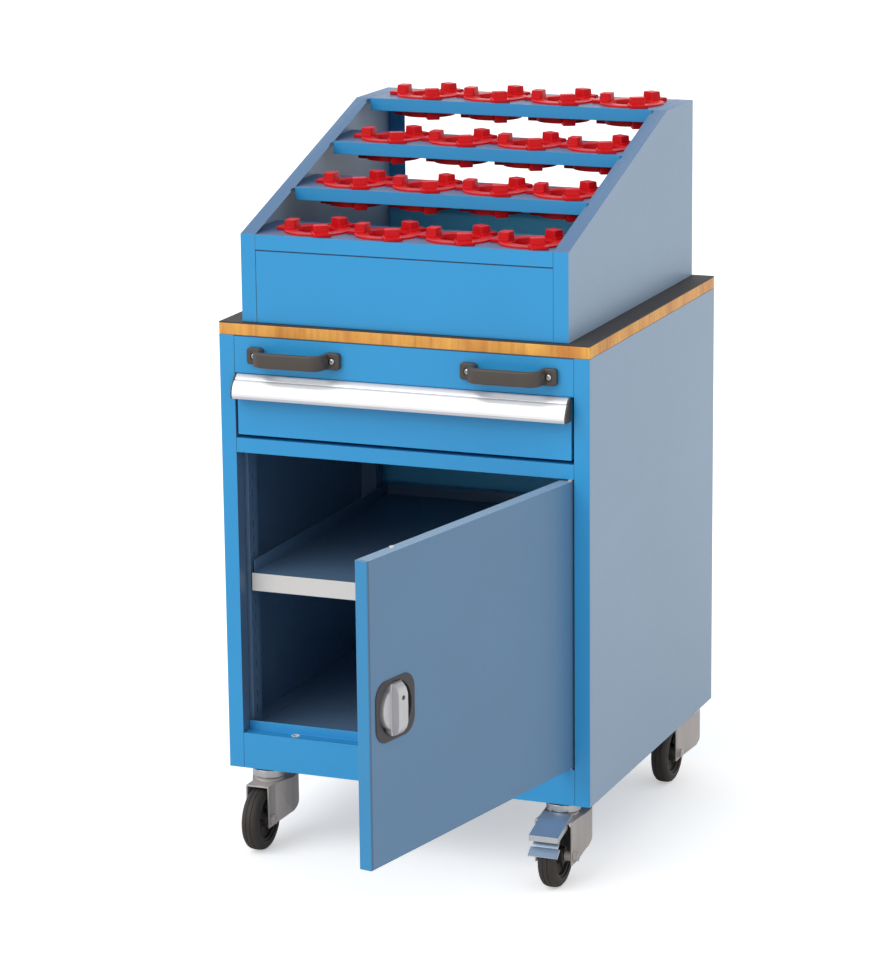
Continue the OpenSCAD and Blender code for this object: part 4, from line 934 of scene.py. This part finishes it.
class CABINET_OT_latch(bpy.types.Operator):
    """Makes the latch bowl and the turn handle"""
    bl_idname = "cabinet.latch"
    bl_label = "Latch"

    def execute(self, context):
        f = finishes()
        rounded_node("latch_bowl", f["bowl"], BOWL_EDGE, 3)
        node = "latch_handle"
        axis = when_closed(JOINTS["latch_turn"]["pos_m"])
        at = np.array([axis[0], FRONT_Y, axis[2]])
        dial = lathe(np.array([[0.01, -6.2], [31, -6.2], [31, 0.2], [30.7, 1.1], [29.8, 1.8],
                               [28.4, 2.1], [22, 2.4], [0.01, 2.6]]) * MM, 96)
        turn = [opened(placed(part, at, TO_FRONT)) for part in (dial, self.ridge())]
        piece("turn_handle", NODES[node]["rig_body"], turn, f["dial"], [node],
              sharp=24)
        crest, above = 15, [0, 0, 17 * MM]
        lock = lathe(np.array([[0.01, crest - 1], [3.4, crest - 1], [3.4, crest + 0.2],
                               [3, crest + 0.5], [2.4, crest + 0.4], [2.2, crest + 0.1],
                               [0.01, crest + 0.1]]) * MM, 32)
        slot = plate(1.1 * MM, 4 * MM, 0.4 * MM, crest * MM, (crest + 0.3) * MM, 0.1 * MM, 2)
        piece("turn_handle_lock", NODES[node]["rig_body"],
              [opened(placed(part, at + above, TO_FRONT)) for part in (lock, slot)], f["dark"])
        return {"FINISHED"}

    @staticmethod
    def ridge():
        """The bar that a hand turns, lofted through sections of (place along it, height, half the
        width) in mm. Each section has a flared foot, steep flanks and a flat top."""
        upper = np.array([[0, 15, 13.4], [20, 14.8, 13.2], [23, 14.5, 13], [29, 12.8, 12.4],
                          [35.5, 8.4, 11.4], [37, 6.4, 11], [37.4, 4.5, 10.6]])
        flare, shoulder = 1.8, 1.6
        loops = []
        for y, h, w in np.vstack([upper[:0:-1] * [-1, 1, 1], upper]):
            ring = filleted([[-w - flare, -6], [w + flare, -6], [w + flare, min(3, h - 0.4)],
                             [w, min(3.6, h - 0.2)], [w - shoulder, h], [shoulder - w, h],
                             [-w, min(3.6, h - 0.2)], [-w - flare, min(3, h - 0.4)]],
                            [0, 0, 0.5, 0.1, 1, 1, 0.1, 0.5], 3)
            loops.append(np.column_stack([ring[:, 0], np.full(len(ring), y), ring[:, 1]]))
        return loft(np.array(loops) * MM)


class CABINET_OT_casters(bpy.types.Operator):
    """Makes the forks, wheels and heads of the four casters and the brake"""
    bl_idname = "cabinet.casters"
    bl_label = "Casters"

    def execute(self, context):
        f, d = finishes(), context.scene.cabinet_detail
        rounded_node("caster_heads", f["steel"], d.cast_edge, 3)
        for node in ("brake_cover", "brake_pedal"):
            rounded_node(node, f["brake"], d.sheet_edge, 3)
        for name in CORNERS:
            rounded_node("fork_" + name, f["zinc"], d.cast_edge, 3)
            self.wheel(name, f)
        return {"FINISHED"}

    @staticmethod
    def wheel(name, f):
        """Tyre and hub, turned from half sections of (radius, distance from the middle) in mm."""
        lo, hi = box("tyre_" + name)
        centre, r, half = (lo + hi) / 2, (hi[2] - lo[2]) / 2 / MM, (hi[0] - lo[0]) / 2 / MM
        rim = r * 0.7
        tread = np.array([
            [rim, 0.6], [rim + 1.2, 0], [r - 9, 0], [r - 8.2, 0.5], [r - 7, 0.4], [r - 4.4, 1.6],
            [r - 1.6, 4.2], [r - 0.5, 7], [r - 0.1, 9.6], [r - 0.9, 10], [r - 0.9, 10.6], [r, 11],
        ]) - [0, half]
        profile = np.vstack([tread, tread[::-1] * [1, -1]]) * MM
        piece("rubber_" + name, "wheel_" + name,
              [placed(lathe(profile, 96, True), centre, TO_X)], f["tyre"], ["tyre_" + name])
        lo, hi = box("hub_" + name)
        wide, web, rib = (hi[0] - lo[0]) / 2 / MM, 4.4, 3.2
        side = np.array([
            [6.1, wide], [11.6, wide], [13, wide - 1.2], [13.4, 7.5], [14.6, 5.2], [17, web],
            [rim - 8, web], [rim - 5.2, 5.4], [rim - 4.2, 8], [rim - 3.4, half - 3.4],
            [rim - 2.4, half - 2.9], [rim, half - 3]])
        profile = np.vstack([side, side[::-1] * [1, -1]]) * MM

        def ribs(p, a):
            """Six ribs on each face of the web: a smooth wave of the angle, on the web's rows."""
            on_web = (p[:, :1] > 14 * MM) & (p[:, :1] < (rim - 6) * MM)
            wave = np.clip(6 * np.cos(6 * a)[None, :] - 4.6, 0, 1)
            return on_web * wave * np.sign(p[:, 1:]) * rib * MM
        piece("web_" + name, "wheel_" + name,
              [placed(lathe(profile, 144, True, ribs), centre, TO_X)], f["hub"], ["hub_" + name])


# How soft each lamp is, its tilt from straight down and its turn about Z, in degrees
LAMPS = {"key": (50, 52, -32), "fill": (80, 58, 62), "rear": (80, 55, 172)}
FILM = 36  # millimetres: the frame's width that the lens is given for
WHITE = (1, 1, 1)


class CABINET_OT_stage(bpy.types.Operator):
    """Makes the floor, the light and the camera"""
    bl_idname = "cabinet.stage"
    bl_label = "Stage"

    def execute(self, context):
        scene, v = context.scene, context.scene.cabinet_view
        scene.view_settings.view_transform = "Standard"
        self.floor(scene)
        self.world(scene, v.sky)
        for name, (soft, tilt, turn) in LAMPS.items():
            lamp = bpy.data.lights.new(name, "SUN")
            lamp.energy = getattr(v, name)
            lamp.angle = math.radians(soft)
            lamp.specular_factor = 0.6
            obj = bpy.data.objects.new(name, lamp)
            obj.rotation_euler = (math.radians(tilt), 0, math.radians(turn))
            scene.collection.objects.link(obj)
        data = bpy.data.cameras.new("camera")
        data.lens = v.lens
        data.sensor_width = FILM
        data.clip_end = 100
        camera = bpy.data.objects.new("camera", data)
        yaw, pitch, roll = (math.radians(a) for a in (v.yaw, v.pitch, v.roll))
        ahead = np.array([0, math.cos(pitch), -math.sin(pitch)]) @ turn_rows(yaw)
        right = turn_rows(yaw)[0]
        up = np.cross(right, ahead)
        c, s = math.cos(roll), math.sin(roll)
        right, up = c * right + s * up, c * up - s * right
        rows = np.column_stack([right, up, -ahead, np.array(v.place)])
        camera.matrix_world = Matrix([*rows.tolist(), [0, 0, 0, 1]])
        scene.collection.objects.link(camera)
        scene.camera = camera
        return {"FINISHED"}

    @staticmethod
    def floor(scene):
        """A wide pale floor that turns to white where the light is full and keeps the shadow."""
        half = 30.0
        mesh = bpy.data.meshes.new("floor")
        mesh.from_pydata([(-half, -half, 0), (half, -half, 0), (half, half, 0), (-half, half, 0)],
                         [], [(0, 1, 2, 3)])
        obj = bpy.data.objects.new("floor", mesh)
        scene.collection.objects.link(obj)
        f = Finish("pale floor")
        clouds = f.mix(f.varied(f.noise(2)), (0.86,) * 3, (0.88,) * 3)
        f.set(Base_Color=clouds, Roughness=0.9, Emission_Color=WHITE, Specular_IOR_Level=0.0)
        seen = f.add("LightPath").outputs["Is Camera Ray"]
        f.set(Emission_Strength=f.math("MULTIPLY", seen, 0.42))
        mesh.materials.append(f.material)

    @staticmethod
    def world(scene, sky):
        """White for the camera and for reflections, and a softer level for the light."""
        world = bpy.data.worlds.new("studio")
        scene.world = world
        world.use_nodes = True
        tree = world.node_tree
        tree.nodes.clear()
        path = tree.nodes.new("ShaderNodeLightPath")
        soft, white = (tree.nodes.new("ShaderNodeBackground") for _ in range(2))
        for node, strength in ((soft, sky), (white, 1.0)):
            node.inputs["Color"].default_value = (*WHITE, 1)
            node.inputs["Strength"].default_value = strength
        either = path.outputs["Is Camera Ray"]
        for name in ("Is Glossy Ray", "Is Transmission Ray"):
            node = tree.nodes.new("ShaderNodeMath")
            node.operation = "MAXIMUM"
            tree.links.new(either, node.inputs[0])
            tree.links.new(path.outputs[name], node.inputs[1])
            either = node.outputs[0]
        mix = tree.nodes.new("ShaderNodeMixShader")
        tree.links.new(either, mix.inputs[0])
        tree.links.new(soft.outputs[0], mix.inputs[1])
        tree.links.new(white.outputs[0], mix.inputs[2])
        out = tree.nodes.new("ShaderNodeOutputWorld")
        tree.links.new(mix.outputs[0], out.inputs[0])


OPERATORS = (CABINET_OT_carcass, CABINET_OT_shelf, CABINET_OT_worktop, CABINET_OT_rack,
             CABINET_OT_inserts, CABINET_OT_handles, CABINET_OT_drawer, CABINET_OT_door,
             CABINET_OT_latch, CABINET_OT_casters, CABINET_OT_stage)


class CABINET_PT_sidebar(bpy.types.Panel):
    """Lists the cabinet's pieces, colours and sizes"""
    bl_idname = "CABINET_PT_sidebar"
    bl_label = "Tool cabinet"
    bl_space_type = "VIEW_3D"
    bl_region_type = "UI"
    bl_category = "Cabinet"

    def draw(self, context):
        column = self.layout.column()
        for operator in OPERATORS:
            column.operator(operator.bl_idname)
        for group in (getattr(context.scene, key) for key in GROUPS):
            for name in group.bl_rna.properties.keys():
                if name not in ("rna_type", "name"):
                    column.prop(group, name)


GROUPS = {"cabinet_finish": CabinetFinish, "cabinet_detail": CabinetDetail, "cabinet_view": CabinetView}


def register():
    for group in GROUPS.values():
        bpy.utils.register_class(group)
    for operator in OPERATORS:
        bpy.utils.register_class(operator)
    bpy.utils.register_class(CABINET_PT_sidebar)
    for name, group in GROUPS.items():
        setattr(bpy.types.Scene, name, bpy.props.PointerProperty(type=group))


def unregister():
    for name in GROUPS:
        delattr(bpy.types.Scene, name)
    bpy.utils.unregister_class(CABINET_PT_sidebar)
    for operator in reversed(OPERATORS):
        bpy.utils.unregister_class(operator)
    for group in reversed(GROUPS.values()):
        bpy.utils.unregister_class(group)


def main():
    register()
    for operator in OPERATORS:
        group, name = operator.bl_idname.split(".")
        getattr(getattr(bpy.ops, group), name)()


if __name__ == "__main__":
    main()
